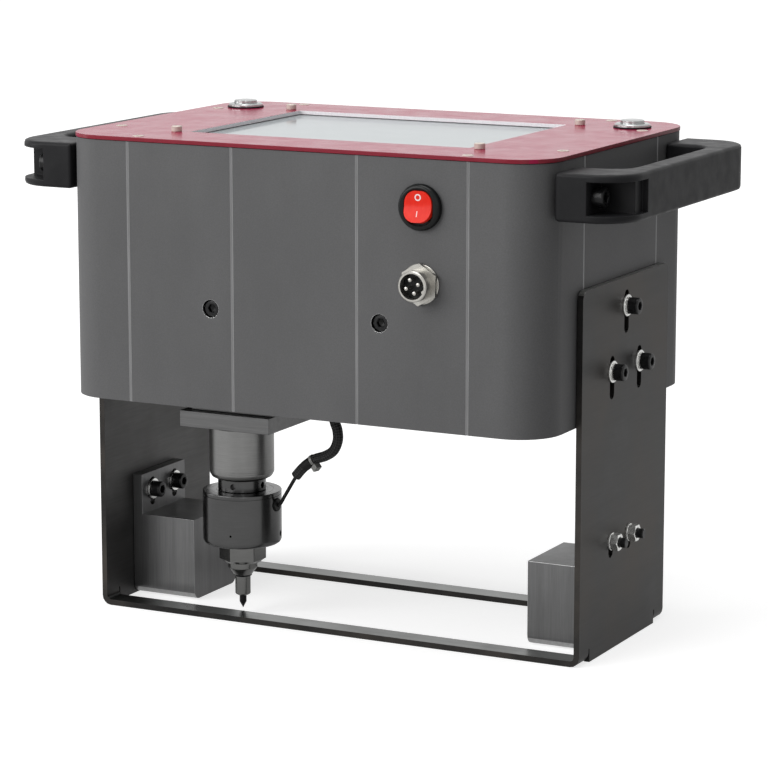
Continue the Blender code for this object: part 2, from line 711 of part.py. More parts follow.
def casing(surface, parent):
    """A tube with an open underside, and a lip round its top that takes the top plate's screws."""
    shell = piece("casing", prism(grooved_outline(), "Z", CASING_BOTTOM, CASING_TOP), surface, parent)
    inner = rounded_rectangle(INNER_X, INNER_Y, CASING_CORNER - CASING_WALL, 8)
    cut(shell, prism(inner, "Z", CASING_BOTTOM - OVERRUN, CASING_TOP - LIP_THICKNESS))
    mouth = rounded_rectangle(INNER_X - LIP_WIDTH, INNER_Y - LIP_WIDTH, LIP_CORNER, 4)
    cut(shell, prism(mouth, "Z", CASING_TOP - LIP_THICKNESS - OVERRUN, CASING_TOP + OVERRUN))
    for sign in (-1, 1):
        ends = sorted((sign * (INNER_X - PAD_THICKNESS), sign * (INNER_X + CASING_WALL / 2)))
        low = (ends[0], -CLAMP_SPREAD - PAD_MARGIN, CLAMP_LOW - PAD_MARGIN)
        high = (ends[1], CLAMP_SPREAD + PAD_MARGIN, CLAMP_LOW + CLAMP_ROW_GAP + PAD_MARGIN)
        join(shell, box(low, high))
    reach = HALF_LENGTH + OVERRUN
    for point in CLAMP_POINTS:
        cut(shell, rod(point, BOLT_DIAMETER + SLIP, "X", -reach, reach, 18))
    for y in handle_screw_ys():
        cut(shell, rod((y, handle_middle()), HANDLE_SCREW + SLIP, "X", -reach, reach, 18))
    depth = HALF_DEPTH + OVERRUN
    for x in (-BEAM_SCREW_X, BEAM_SCREW_X):
        cut(shell, rod((x, CASING_BOTTOM + BEAM_SCREW_RISE), COUNTERBORE, "Y", -depth, depth, 24))
    front = (-depth, -HALF_DEPTH + CASING_WALL + OVERRUN)
    cut(shell, rod((CONTROL_X, CASING_BOTTOM + SWITCH_HEIGHT), SWITCH_BARREL + SLIP, "Y", *front, 32))
    cut(shell, rod((CONTROL_X, CASING_BOTTOM + SOCKET_HEIGHT), SOCKET_BARREL + SLIP, "Y", *front, 32))
    return shell


def casing_bolts(surface, parent):
    for side, sign in (("left", -1), ("right", 1)):
        for (y, z), place in zip(CLAMP_POINTS, ("upper", "front", "rear")):
            seat = LEG_OUTER_X + WASHER_STACK
            stem = seat - INNER_X + PAD_THICKNESS + CLAMP_BOLT_PROUD
            socket_screw(f"{side}_clamp_bolt_{place}", (sign * seat, y, z), sign, stem, surface, parent)


# ---------------------------------------------------------------- top plate, screen and buttons
def top_plate(surface, parent):
    outline = rounded_rectangle(
        HALF_LENGTH + PLATE_OVERHANG, HALF_DEPTH + PLATE_OVERHANG, CASING_CORNER + PLATE_OVERHANG, 8
    )
    plate = piece("top_plate", prism(outline, "Z", PLATE_BOTTOM, PLATE_TOP), surface, parent)
    span = (PLATE_BOTTOM - OVERRUN, PLATE_TOP + OVERRUN)
    cut(plate, prism(rounded_rectangle(WINDOW_LENGTH / 2, WINDOW_DEPTH / 2, WINDOW_CORNER, 2), "Z", *span))
    for sign in (-1, 1):
        cut(plate, rod((sign * BUTTON_X, BUTTON_Y), BUTTON_BARREL + SLIP, "Z", *span, 32))
    return plate


def screen(glass, grey, green, parent):
    """The touch glass under the top plate's window, the display below it and the board on its pillars."""
    glass_top = PLATE_BOTTOM - GAP
    display_top = glass_top - GLASS_THICKNESS - GAP
    display_bottom = display_top - DISPLAY_THICKNESS
    half = (DISPLAY_LENGTH / 2, DISPLAY_DEPTH / 2)
    sheet = prism(rounded_rectangle(*half, WINDOW_CORNER, 2), "Z", glass_top - GLASS_THICKNESS, glass_top)
    piece("screen_glass", sheet, glass, parent, smooth=False)
    body = box((-half[0], -half[1], display_bottom), (half[0], half[1], display_top))
    piece("display_module", body, grey, parent, smooth=False)
    board_top = display_bottom - BOARD_DROP
    half = (BOARD_LENGTH / 2, BOARD_DEPTH / 2)
    board = piece(
        "control_board",
        box((-half[0], -half[1], board_top - BOARD_THICKNESS), (half[0], half[1], board_top)),
        green,
        parent,
        smooth=False,
    )
    for x in (-1, 1):
        for y in (-1, 1):
            centre = (x * (half[0] - PILLAR_INSET), y * (half[1] - PILLAR_INSET))
            ends = (board_top - BOARD_THICKNESS / 2, display_bottom - GAP)
            join(board, rod(centre, PILLAR_DIAMETER, "Z", *ends, 12))


def push_button(side, sign, steel, parent):
    centre = (sign * BUTTON_X, BUTTON_Y)
    flange_low = PLATE_TOP + GAP
    flange_high = flange_low + BUTTON_FLANGE_HEIGHT
    low = flange_high - BUTTON_LENGTH
    bore = BUTTON_CAP / 2 + SLIP / 2
    profile = [
        (0, low),
        (BUTTON_BARREL / 2, low),
        (BUTTON_BARREL / 2, flange_low),
        (BUTTON_FLANGE / 2, flange_low),
        (BUTTON_FLANGE / 2, flange_high - BUTTON_CHAMFER_HEIGHT),
        (BUTTON_FLANGE / 2 - BUTTON_CHAMFER, flange_high),
        (bore, flange_high),
        (bore, low + BUTTON_FLOOR),
        (0, low + BUTTON_FLOOR),
    ]
    piece(f"{side}_button_body", turned(profile, centre, "Z", 32), steel, parent)
    axis = empty(f"{side}_button_axis", (*centre, flange_high), parent)
    top = flange_high + BUTTON_PROUD
    stem_low = low + BUTTON_FLOOR + BUTTON_STEM_ROOM
    cap = [
        (0, stem_low),
        (BUTTON_STEM_RADIUS, stem_low),
        (BUTTON_STEM_RADIUS, flange_high - BUTTON_CAP_DEPTH),
        (BUTTON_CAP / 2, flange_high - BUTTON_CAP_DEPTH),
        (BUTTON_CAP / 2, top - BUTTON_CAP_EDGE),
        (BUTTON_CAP / 2 - BUTTON_CAP_EDGE, top),
        (0, top),
    ]
    piece(f"{side}_button_cap", turned(cap, centre, "Z", 32), steel, axis)


# ---------------------------------------------------------------- switch and power socket
def switch(black, red, parent):
    centre = (CONTROL_X, CASING_BOTTOM + SWITCH_HEIGHT)
    face = -HALF_DEPTH
    front = face - SWITCH_FLANGE_PROUD
    profile = [
        (0, front),
        (SWITCH_FLANGE / 2 - SWITCH_EDGE, front),
        (SWITCH_FLANGE / 2 - SWITCH_TAPER, front + SWITCH_EDGE),
        (SWITCH_FLANGE / 2, face - GAP),
        (SWITCH_BARREL / 2, face - GAP),
        (SWITCH_BARREL / 2, face + SWITCH_LENGTH),
        (0, face + SWITCH_LENGTH),
    ]
    body = piece("switch_body", turned(profile, centre, "Y", 36), black, parent)
    cut(
        body,
        prism(rocker_outline(centre, ROCKER_PLAY), "Y", front - OVERRUN, front + RECESS_DEPTH),
        prism(well_outline(centre), "Y", front - OVERRUN, front + WELL_DEPTH),
    )
    pivot_y = front + ROCKER_PIVOT
    pivot = empty("rocker_axis", (centre[0], pivot_y, centre[1]), parent)
    # Its two faces meet in a shallow V. At rest the upper end is pressed in, level with the bezel.
    ridge = ROCKER_PIVOT + ROCKER_PROUD
    reach = ROCKER_HEIGHT / 2 - ridge * math.sin(ROCKER_TILT)
    end = (-ridge - reach * math.sin(ROCKER_TILT), reach * math.cos(ROCKER_TILT))
    edge = (end[0] + ROCKER_THICKNESS, end[1])
    half_shape = [end, edge, (0.0, ROCKER_SHOULDER), (ROCKER_HUB_DEPTH, ROCKER_HUB_WIDTH)]
    shape = [(-ridge, 0.0), *half_shape, *[(y, -z) for y, z in reversed(half_shape)]]
    tilt = (math.cos(ROCKER_TILT), math.sin(ROCKER_TILT))
    outline = [(pivot_y + y * tilt[0] + z * tilt[1], centre[1] - y * tilt[1] + z * tilt[0]) for y, z in shape]
    ends = (centre[0] - ROCKER_WIDTH / 2 - OVERRUN, centre[0] + ROCKER_WIDTH / 2 + OVERRUN)
    rocker = piece("switch_rocker", prism(outline, "X", *ends), red, pivot)
    # Its corners clear the recess in both of its positions.
    axis_point = Vector(pivot["point"])
    for turn in (0.0, -2 * ROCKER_TILT):
        fit = prism(rocker_outline(centre, 0.0), "Y", front - SWITCH_FLANGE, front + SWITCH_FLANGE)
        bmesh.ops.rotate(fit, verts=fit.verts, cent=axis_point, matrix=Matrix.Rotation(turn, 3, "X"))
        combine(rocker, "INTERSECT", fit)


def rocker_outline(centre, play):
    """The rocker's face, or the recess round it, seen from the front."""
    outline = rounded_rectangle(ROCKER_WIDTH / 2 + play, ROCKER_HEIGHT / 2 + play, ROCKER_CORNER + play)
    return [(centre[0] + x, centre[1] + z) for x, z in outline]


def well_outline(centre):
    outline = rounded_rectangle(ROCKER_WIDTH / 2 + ROCKER_PLAY, WELL_HEIGHT / 2, WELL_CORNER, 3)
    return [(centre[0] + x, centre[1] + z) for x, z in outline]


def power_socket(surface, parent):
    face = -HALF_DEPTH
    front = face - SOCKET_PROUD
    flange = face - SOCKET_FLANGE_PROUD
    profile = [
        (0, front + SOCKET_FACE_DEPTH),
        (SOCKET_BORE / 2, front + SOCKET_FACE_DEPTH),
        (SOCKET_BORE / 2, front),
        (SOCKET_BARREL / 2 - SOCKET_EDGE, front),
        (SOCKET_BARREL / 2, front + SOCKET_EDGE),
        (SOCKET_BARREL / 2, flange),
        (SOCKET_FLANGE / 2 - SOCKET_FLANGE_EDGE, flange),
        (SOCKET_FLANGE / 2, flange + SOCKET_FLANGE_EDGE),
        (SOCKET_FLANGE / 2, face - GAP),
        (SOCKET_BARREL / 2, face - GAP),
        (SOCKET_BARREL / 2, face + SOCKET_LENGTH),
        (0, face + SOCKET_LENGTH),
    ]
    centre = (CONTROL_X, CASING_BOTTOM + SOCKET_HEIGHT)
    body = piece("power_socket", turned(profile, centre, "Y", 32), surface, parent)
    nut = hexagon(centre, SOCKET_NUT_FLATS, SOCKET_NUT_TURN)
    join(body, prism(nut, "Y", flange - SOCKET_NUT_HEIGHT, flange + SOCKET_FLANGE_PROUD / 2))


# ---------------------------------------------------------------- handles
def handle_middle():
    return CASING_TOP - HANDLE_BELOW_TOP - HANDLE_HEIGHT / 2


def handle_screw_ys():
    place = HANDLE_LENGTH / 2 - HANDLE_SCREW_INSET
    return (-place, place)


def handle(name, sign, surface, parent):
    """A moulded bridge handle. A pocket round its front corner gives room for that foot's screw.

    The rear foot is whole outside, and its screw comes from inside the casing.
    """
    near = HALF_LENGTH + GAP
    far = HALF_LENGTH + HANDLE_REACH
    half = HANDLE_LENGTH / 2
    inner = half - HANDLE_FOOT
    reach = far - HANDLE_BAR
    outline = [(near, -half)]
    outline += arc((far - HANDLE_CORNER, -half + HANDLE_CORNER), HANDLE_CORNER, 270, 360, 7)
    outline += arc((far - HANDLE_CORNER, half - HANDLE_CORNER), HANDLE_CORNER, 0, 90, 7)
    outline += [(near, half), (near, inner)]
    radius = HANDLE_INNER_CORNER
    outline += arc((reach - radius, inner - radius), radius, 90, 0, 4)
    outline += arc((reach - radius, -inner + radius), radius, 0, -90, 4)
    outline += [(near, -inner)]
    middle = handle_middle()
    span = (middle - HANDLE_HEIGHT / 2, middle + HANDLE_HEIGHT / 2)
    grip = piece(name, prism([(sign * x, y) for x, y in outline], "Z", *span), surface, parent)
    bevel(grip, HANDLE_EDGE, 2)
    low, high = middle - POCKET_HEIGHT / 2, middle + POCKET_HEIGHT / 2
    x_ends = sorted((sign * (HALF_LENGTH + POCKET_INSET), sign * (far + OVERRUN)))
    cut(grip, box((x_ends[0], -half - OVERRUN, low), (x_ends[1], -half + POCKET_DEPTH, high)))
    x_ends = sorted((sign * (far - POCKET_SHALLOW), sign * (far + OVERRUN)))
    cut(grip, box((x_ends[0], -half + POCKET_DEPTH - OVERRUN, low), (x_ends[1], -half + POCKET_WRAP, high)))
    depths = (HALF_LENGTH + POCKET_INSET + OVERRUN, near + HANDLE_THREAD)
    for y, depth in zip(handle_screw_ys(), depths):
        ends = sorted((sign * (near - OVERRUN), sign * depth))
        cut(grip, rod((y, middle), HANDLE_SCREW + SLIP, "X", *ends, 18))
    return grip


# ---------------------------------------------------------------- X stage
def x_beams(aluminium, steel, parent):
    """Front and rear beams on the casing's walls, each with a linear rail on its inner face."""
    half = BEAM_LENGTH / 2
    for side, sign in (("front", -1), ("rear", 1)):
        flange_left = X_MOTOR_START - GAP - MOTOR_FLANGE
        right = half if sign < 0 else flange_left + WELD
        y_ends = sorted((sign * BEAM_FACE, sign * (INNER_Y - GAP)))
        beam = piece(
            f"{side}_beam",
            box((-half, y_ends[0], BEAM_LOW), (right, y_ends[1], BEAM_HIGH)),
            aluminium,
            parent,
            smooth=False,
        )
        for x in (-BEAM_SCREW_X, BEAM_SCREW_X):
            bore = (BOLT_DIAMETER + SLIP) / 2
            hole = [
                (0, BEAM_FACE - OVERRUN),
                (bore, BEAM_FACE - OVERRUN),
                (bore, BEAM_SCREW_SEAT),
                (COUNTERBORE / 2, BEAM_SCREW_SEAT),
                (COUNTERBORE / 2, INNER_Y + OVERRUN),
                (0, INNER_Y + OVERRUN),
            ]
            centre = (x, CASING_BOTTOM + BEAM_SCREW_RISE)
            cut(beam, turned([(radius, sign * y) for radius, y in hole], centre, "Y", 24))
        rail_right = RAIL_LENGTH / 2 if sign < 0 else flange_left - RAIL_END_ROOM
        rail_ends = sorted((sign * RAIL_FACE, sign * (BEAM_FACE - GAP)))
        half_rail = RAIL_SECTION_WIDTH / 2
        rail = box(
            (-RAIL_LENGTH / 2, rail_ends[0], RAIL_Z - half_rail), (rail_right, rail_ends[1], RAIL_Z + half_rail)
        )
        piece(f"{side}_rail", rail, steel, parent, smooth=False)
    rear = bpy.data.objects["rear_beam"]
    screw = (X_SCREW_Y, X_SCREW_Z)
    lug_low = X_SCREW_Z - LUG_SIZE / 2
    lug = box(
        (-half, X_SCREW_Y - LUG_SIZE / 2, lug_low),
        (-half + LUG_LENGTH, BEAM_FACE + BEAM_THICKNESS / 2, lug_low + LUG_SIZE),
    )
    flange_right = X_MOTOR_START - GAP
    flange = box(
        (flange_right - MOTOR_FLANGE, X_SCREW_Y - MOTOR_SIZE / 2, BEAM_LOW),
        (flange_right, INNER_Y - GAP, X_SCREW_Z + MOTOR_SIZE / 2),
    )
    join(rear, lug, flange)
    cut(rear, rod(screw, SCREW_DIAMETER + SLIP, "X", -half - OVERRUN, flange_right + OVERRUN, 20))


def beam_screws(surface, parent):
    """The screws that hold the front beam. Their heads are sunk below the casing's face."""
    for x, side in ((-BEAM_SCREW_X, "left"), (BEAM_SCREW_X, "right")):
        point = (x, -BEAM_SCREW_SEAT - GAP, CASING_BOTTOM + BEAM_SCREW_RISE)
        socket_screw(f"beam_screw_{side}", point, -1, BEAM_SCREW_LENGTH, surface, parent, axis="Y")


def motor(name, axis, centre, low, high, surface, parent):
    """A square stepper motor with chamfered corners."""
    half = MOTOR_SIZE / 2
    flat = half - MOTOR_CORNER
    outline = []
    for a, b in ((1, 1), (-1, 1), (-1, -1), (1, -1)):
        ends = [(a * half, b * flat), (a * flat, b * half)]
        outline += ends if a * b > 0 else ends[::-1]
    shape = prism([(centre[0] + a, centre[1] + b) for a, b in outline], axis, low, high)
    piece(name, shape, surface, parent, smooth=False)


def car_outline(centre, face, inward, width):
    """A rail car's section: it wraps the rail. Width runs along the first coordinate."""
    half = width / 2
    slot = RAIL_SECTION_WIDTH / 2 + GAP
    outer = face
    inner = face + inward * CAR_THICKNESS
    floor = face + inward * (RAIL_SECTION_HEIGHT - CAR_STEP + GAP)
    return [
        (centre - half, outer),
        (centre - slot, outer),
        (centre - slot, floor),
        (centre + slot, floor),
        (centre + slot, outer),
        (centre + half, outer),
        (centre + half, inner),
        (centre - half, inner),
    ]


def x_stage(aluminium, steel, dark, parent, screw_axis_parent):
    """The bridge hangs between two cars. It carries the Y rail inside and the Y motor on top."""
    for side, sign in (("front", -1), ("rear", 1)):
        section = [(y, z) for z, y in car_outline(RAIL_Z, sign * CAR_OUTER, -sign, CAR_WIDTH)]
        ends = (HEAD_X - CAR_LENGTH / 2, HEAD_X + CAR_LENGTH / 2)
        piece(f"{side}_x_car", prism(section, "X", *ends), dark, parent, smooth=False)
    low = (HEAD_X - BRIDGE_HALF_X, -BRIDGE_HALF_Y, BRIDGE_BOTTOM)
    high = (HEAD_X + BRIDGE_HALF_X, BRIDGE_HALF_Y, BRIDGE_TOP)
    bridge = piece("bridge", box(low, high), aluminium, parent, smooth=False)
    hollow = (
        (low[0] + BRIDGE_WALL, low[1] + BRIDGE_WALL, low[2] - OVERRUN),
        (high[0] - BRIDGE_WALL, high[1] - BRIDGE_WALL, BRIDGE_CEILING),
    )
    cut(bridge, box(*hollow))
    nut_x = HEAD_X + X_NUT_OFFSET
    motor_end = Y_MOTOR_START + Y_MOTOR_LENGTH
    nut_low = (nut_x - NUT_LENGTH / 2, motor_end + 2 * GAP, RAIL_Z + CAR_WIDTH / 2 + GAP)
    nut_high = (nut_x + NUT_LENGTH / 2, X_SCREW_Y + X_NUT_BEHIND, X_SCREW_Z + X_NUT_ABOVE)
    lug_y = -BRIDGE_HALF_Y + Y_LUG_INSET
    lug_low = (HEAD_X - LUG_SIZE / 2, lug_y, BRIDGE_TOP - WELD)
    lug_high = (HEAD_X + LUG_SIZE / 2, lug_y + Y_LUG_LENGTH, Y_SCREW_Z + Y_NUT_SIZE / 2)
    join(bridge, box(nut_low, nut_high), box(lug_low, lug_high))
    bore = SCREW_DIAMETER + SLIP
    cut(
        bridge,
        rod((X_SCREW_Y, X_SCREW_Z), bore, "X", nut_low[0] - OVERRUN, nut_high[0] + OVERRUN, 20),
        rod((HEAD_X, Y_SCREW_Z), bore, "Y", lug_low[1] - OVERRUN, lug_high[1] + OVERRUN, 20),
    )
    half_rail = RAIL_SECTION_WIDTH / 2
    rail_top = BRIDGE_CEILING - GAP
    rail = box(
        (Y_RAIL_X - half_rail, -Y_RAIL_LENGTH / 2, rail_top - RAIL_SECTION_HEIGHT),
        (Y_RAIL_X + half_rail, Y_RAIL_LENGTH / 2, rail_top),
    )
    piece("y_rail", rail, steel, parent, smooth=False)
    motor_centre = (HEAD_X, Y_SCREW_Z)
    motor("y_motor", "Y", motor_centre, Y_MOTOR_START, motor_end, dark, parent)
    axis = empty("y_screw_axis", (HEAD_X, Y_MOTOR_START, Y_SCREW_Z), parent)
    ends = (lug_y - SCREW_PROUD, Y_MOTOR_START - GAP)
    piece("y_screw", rod(motor_centre, SCREW_DIAMETER, "Y", *ends, 20), steel, axis)
    ends = (X_MOTOR_START, X_MOTOR_START + X_MOTOR_LENGTH)
    motor("x_motor", "X", (X_SCREW_Y, X_SCREW_Z), *ends, dark, screw_axis_parent)
    axis = empty("x_screw_axis", (X_MOTOR_START, X_SCREW_Y, X_SCREW_Z), screw_axis_parent)
    ends = (-BEAM_LENGTH / 2 - SCREW_PROUD, X_MOTOR_START - GAP)
    piece("x_screw", rod((X_SCREW_Y, X_SCREW_Z), SCREW_DIAMETER, "X", *ends, 20), steel, axis)


# ---------------------------------------------------------------- Y stage and marking head
def y_stage(aluminium, dark, parent):
    """The car under the bridge, the carriage with its drive arm and cable tab, and the head plate."""
    y_ends = (Y_CAR_Y - CAR_LENGTH / 2, Y_CAR_Y + CAR_LENGTH / 2)
    section = car_outline(Y_RAIL_X, Y_CAR_TOP, -1, CAR_WIDTH)
    piece("y_car", prism(section, "Y", *y_ends), dark, parent, smooth=False)
    low = HEAD_PLATE_TOP + GAP
    foot_high = low + CARRIAGE_FOOT
    half = CAR_WIDTH / 2
    arm_in = HEAD_X + BRIDGE_HALF_X + ARM_CLEARANCE
    arm_out = arm_in + ARM_THICKNESS
    left = Y_RAIL_X - half
    foot = [(left, low), (arm_out, low), (arm_out, foot_high), (Y_RAIL_X + half, foot_high)]
    foot += [(Y_RAIL_X + half, Y_CAR_BOTTOM - GAP), (left, Y_CAR_BOTTOM - GAP)]
    carriage = piece("y_carriage", prism(foot, "Y", *y_ends), aluminium, parent, smooth=False)
    nut_ends = (y_ends[0], y_ends[0] + NUT_LENGTH)
    nut_low, nut_high = Y_SCREW_Z - Y_NUT_SIZE / 2, Y_SCREW_Z + Y_NUT_SIZE / 2
    nut_left = HEAD_X - Y_NUT_SIZE / 2
    tab_low = foot_high - WELD
    tab_high = tab_low + CABLE_TAB_THICKNESS
    arm = [(arm_in, tab_low), (arm_out, tab_low), (arm_out, nut_high), (nut_left, nut_high)]
    arm += [(nut_left, nut_low), (arm_in, nut_low)]
    join(carriage, prism(arm, "Y", *nut_ends))
    tab_ends = (HEAD_Y - CABLE_TAB_WIDTH / 2, HEAD_Y + CABLE_TAB_WIDTH / 2)
    tab = box((arm_out - WELD, tab_ends[0], tab_low), (arm_out + CABLE_TAB, tab_ends[1], tab_high))
    join(carriage, tab)
    bore = SCREW_DIAMETER + SLIP
    cut(carriage, rod((HEAD_X, Y_SCREW_Z), bore, "Y", nut_ends[0] - OVERRUN, nut_ends[1] + OVERRUN, 20))
    cable = (HEAD_X + CABLE_X, HEAD_Y)
    bore = SLEEVING_DIAMETER + CABLE_TAB_ROOM
    cut(carriage, rod(cable, bore, "Z", tab_low - OVERRUN, tab_low + 2 * OVERRUN, 16))
    clamp_low = tab_high + GAP
    half = CABLE_CLAMP_LENGTH / 2
    clamp_body = box(
        (cable[0] - half, cable[1] - CABLE_CLAMP_FRONT, clamp_low),
        (cable[0] + half, cable[1] + CABLE_CLAMP_BACK, clamp_low + CABLE_CLAMP_HEIGHT),
    )
    clamp = piece("cable_clamp", clamp_body, dark, parent, smooth=False)
    bore = SLEEVING_DIAMETER + SLIP
    cut(clamp, rod(cable, bore, "Z", clamp_low - OVERRUN, SLEEVING_ROUTE[-1][1] + GAP, 16))
    front = HEAD_Y - HEAD_PLATE_FRONT
    plate = box(
        (HEAD_X - HEAD_PLATE_WIDTH / 2, front, HEAD_PLATE_BOTTOM),
        (HEAD_X + HEAD_PLATE_WIDTH / 2, front + HEAD_PLATE_DEPTH, HEAD_PLATE_TOP),
    )
    piece("head_plate", plate, aluminium, parent, smooth=False)


def marking_head(aluminium, steel, copper, black, parent):
    bore = STEM_RADIUS + SLIP / 2
    sleeve = [
        (bore, SLEEVE_BOTTOM),
        (SLEEVE_RADIUS - SLEEVE_CHAMFER, SLEEVE_BOTTOM),
        (SLEEVE_RADIUS - SLEEVE_STEP[0], SLEEVE_BOTTOM + SLEEVE_STEP[1]),
        (SLEEVE_RADIUS, SLEEVE_BOTTOM + SLEEVE_CHAMFER),
        (SLEEVE_RADIUS, SLEEVE_TOP),
        (bore, SLEEVE_TOP),
    ]
    piece("mounting_sleeve", turned(sleeve, HEAD_AXIS, "Z", 40), aluminium, parent)
    low = COLLAR_TOP - COLLAR_HEIGHT
    ring = [(bore, low), (COLLAR_RADIUS, low), (COLLAR_RADIUS, COLLAR_TOP), (bore, COLLAR_TOP)]
    collar = piece("clamp_collar", turned(ring, HEAD_AXIS, "Z", 36), aluminium, parent)
    for azimuth in SET_SCREW_AZIMUTHS:
        ends = (bore + SET_SCREW_WALL, COLLAR_RADIUS + OVERRUN)
        cut(collar, radial_hole(azimuth, low + COLLAR_HEIGHT / 2, SET_SCREW, *ends))
    shell = [
        (0, HOUSING_TOP + STEM_LENGTH),
        (STEM_RADIUS, HOUSING_TOP + STEM_LENGTH),
        (STEM_RADIUS, HOUSING_TOP),
        (HOUSING_RADIUS - HOUSING_EDGE, HOUSING_TOP),
        (HOUSING_RADIUS, HOUSING_TOP - HOUSING_EDGE),
        (HOUSING_RADIUS, HOUSING_BOTTOM + HOUSING_ROUND),
        (HOUSING_RADIUS - HOUSING_ROUND_STEP, HOUSING_BOTTOM + HOUSING_ROUND_STEP),
        (HOUSING_RADIUS - HOUSING_ROUND, HOUSING_BOTTOM),
        (NOSE_RADIUS + SLIP / 2, HOUSING_BOTTOM),
        (NOSE_RADIUS + SLIP / 2, CAVITY_BOTTOM),
        (CAVITY_RADIUS, CAVITY_BOTTOM),
        (CAVITY_RADIUS, CAVITY_TOP),
        (0, CAVITY_TOP),
    ]
    housing = piece("coil_housing", turned(shell, HEAD_AXIS, "Z", 48), steel, parent)
    grommet_hole = (CAVITY_RADIUS - OVERRUN, HOUSING_RADIUS + OVERRUN)
    cut(housing, radial_hole(0, GROMMET_Z, 2 * GROMMET_RADIUS + SLIP, *grommet_hole))
    ends = (HOUSING_RADIUS - VENT_DEPTH, HOUSING_RADIUS + OVERRUN)
    cut(housing, radial_hole(VENT_AZIMUTH, HOUSING_BOTTOM + VENT_RISE, VENT_DIAMETER, *ends))
    coil = [
        (COIL_BORE, CAVITY_BOTTOM + GAP),
        (CAVITY_RADIUS - GAP, CAVITY_BOTTOM + GAP),
        (CAVITY_RADIUS - GAP, CAVITY_TOP - GAP),
        (COIL_BORE, CAVITY_TOP - GAP),
    ]
    piece("coil", turned(coil, HEAD_AXIS, "Z", 32), copper, parent)
    nose_parts(steel, parent)
    stylus(steel, parent)
    grommet_and_cable(black, parent)


def radial_hole(azimuth, height, diameter, inner, outer):
    """A cutter that points away from the head's axis."""
    shape = rod((0, 0), diameter, "X", inner, outer, 14)
    turn = math.radians(azimuth)
    for vertex in shape.verts:
        x, y, z = vertex.co
        vertex.co = (
            HEAD_X + x * math.cos(turn) - y * math.sin(turn),
            HEAD_Y + x * math.sin(turn) + y * math.cos(turn),
            height + z,
        )
    return shape


def nose_parts(steel, parent):
    nut = piece(
        "nose_nut",
        prism(hexagon(HEAD_AXIS, NOSE_NUT_FLATS, NOSE_NUT_TURN), "Z", NOSE_NUT_BOTTOM, NOSE_NUT_TOP),
        steel,
        parent,
        smooth=False,
    )
    corner = NOSE_NUT_FLATS / math.sqrt(3)
    inset = NOSE_NUT_FLATS / 2 - NOSE_NUT_CHAMFER_INSET
    reach = corner + NOSE_NUT_CHAMFER_REACH
    chamfer = [
        (0, NOSE_NUT_BOTTOM - OVERRUN),
        (inset, NOSE_NUT_BOTTOM - OVERRUN),
        (inset, NOSE_NUT_BOTTOM),
        (reach, NOSE_NUT_BOTTOM + NOSE_NUT_CHAMFER),
        (reach, NOSE_NUT_TOP + OVERRUN),
        (0, NOSE_NUT_TOP + OVERRUN),
    ]
    combine(nut, "INTERSECT", turned(chamfer, HEAD_AXIS, "Z", 36))
    ends = (NOSE_NUT_BOTTOM - OVERRUN, NOSE_NUT_TOP + OVERRUN)
    cut(nut, rod(HEAD_AXIS, 2 * NOSE_RADIUS + SLIP, "Z", *ends, 24))
    bore = NEEDLE_RADIUS + SLIP / 2
    cone_top = NOSE_COLLAR_TOP - NOSE_COLLAR_HEIGHT
    nose = [
        (bore, TIP_BOTTOM),
        (TIP_RADIUS - TIP_CHAMFER, TIP_BOTTOM),
        (TIP_RADIUS, TIP_BOTTOM + TIP_CHAMFER),
        (TIP_RADIUS, TIP_TOP),
        (NOSE_COLLAR_RADIUS, cone_top),
        (NOSE_COLLAR_RADIUS, NOSE_COLLAR_TOP),
        (NOSE_RADIUS, NOSE_COLLAR_TOP),
        (NOSE_RADIUS, NOSE_TOP),
        (bore, NOSE_TOP),
    ]
    piece("nose_tube", turned(nose, HEAD_AXIS, "Z", 28), steel, parent)


def stylus(steel, parent):
    """The pointed needle and its plunger inside the coil, with the return spring under the plunger."""
    axis = empty("stylus_axis", (*HEAD_AXIS, TIP_BOTTOM), parent)
    shoulder = TIP_BOTTOM - NEEDLE_PROUD
    profile = [
        (0, shoulder - NEEDLE_POINT),
        (NEEDLE_RADIUS, shoulder),
        (NEEDLE_RADIUS, PLUNGER_BOTTOM),
        (PLUNGER_RADIUS, PLUNGER_BOTTOM),
        (PLUNGER_RADIUS, PLUNGER_BOTTOM + PLUNGER_LENGTH),
        (0, PLUNGER_BOTTOM + PLUNGER_LENGTH),
    ]
    piece("stylus", turned(profile, HEAD_AXIS, "Z", 20), steel, axis)
    low = NOSE_TOP + GAP + SPRING_WIRE
    height = SPRING_HEIGHT - 2 * SPRING_WIRE
    steps = 10 * SPRING_TURNS
    coil = []
    for i in range(steps + 1):
        turn = 2 * math.pi * SPRING_TURNS * i / steps
        x = HEAD_X + SPRING_RADIUS * math.cos(turn)
        coil.append((x, HEAD_Y + SPRING_RADIUS * math.sin(turn), low + height * i / steps))
    tube("stylus_spring", coil, 2 * SPRING_WIRE, steel, parent, 1)


def grommet_and_cable(black, parent):
    inner = HEAD_X + CAVITY_RADIUS + GAP
    outer = HEAD_X + HOUSING_RADIUS + GROMMET_PROUD
    bore = CABLE_DIAMETER / 2 + SLIP / 2
    ring = [(bore, inner), (GROMMET_RADIUS, inner), (GROMMET_RADIUS, outer), (bore, outer)]
    piece("cable_grommet", turned(ring, (HEAD_Y, GROMMET_Z), "X", 20), black, parent)
    lift = GROMMET_Z - LEAD_ROUTE[0][1]
    lead = smooth_line([(HEAD_X + x, HEAD_Y, z + lift) for x, z in LEAD_ROUTE], 3)
    tube("head_cable", lead, CABLE_DIAMETER, black, parent)
    sleeving = smooth_line([(HEAD_X + x, HEAD_Y, z) for x, z in SLEEVING_ROUTE], 2)
    tube("cable_sleeve", sleeving, SLEEVING_DIAMETER, black, parent)


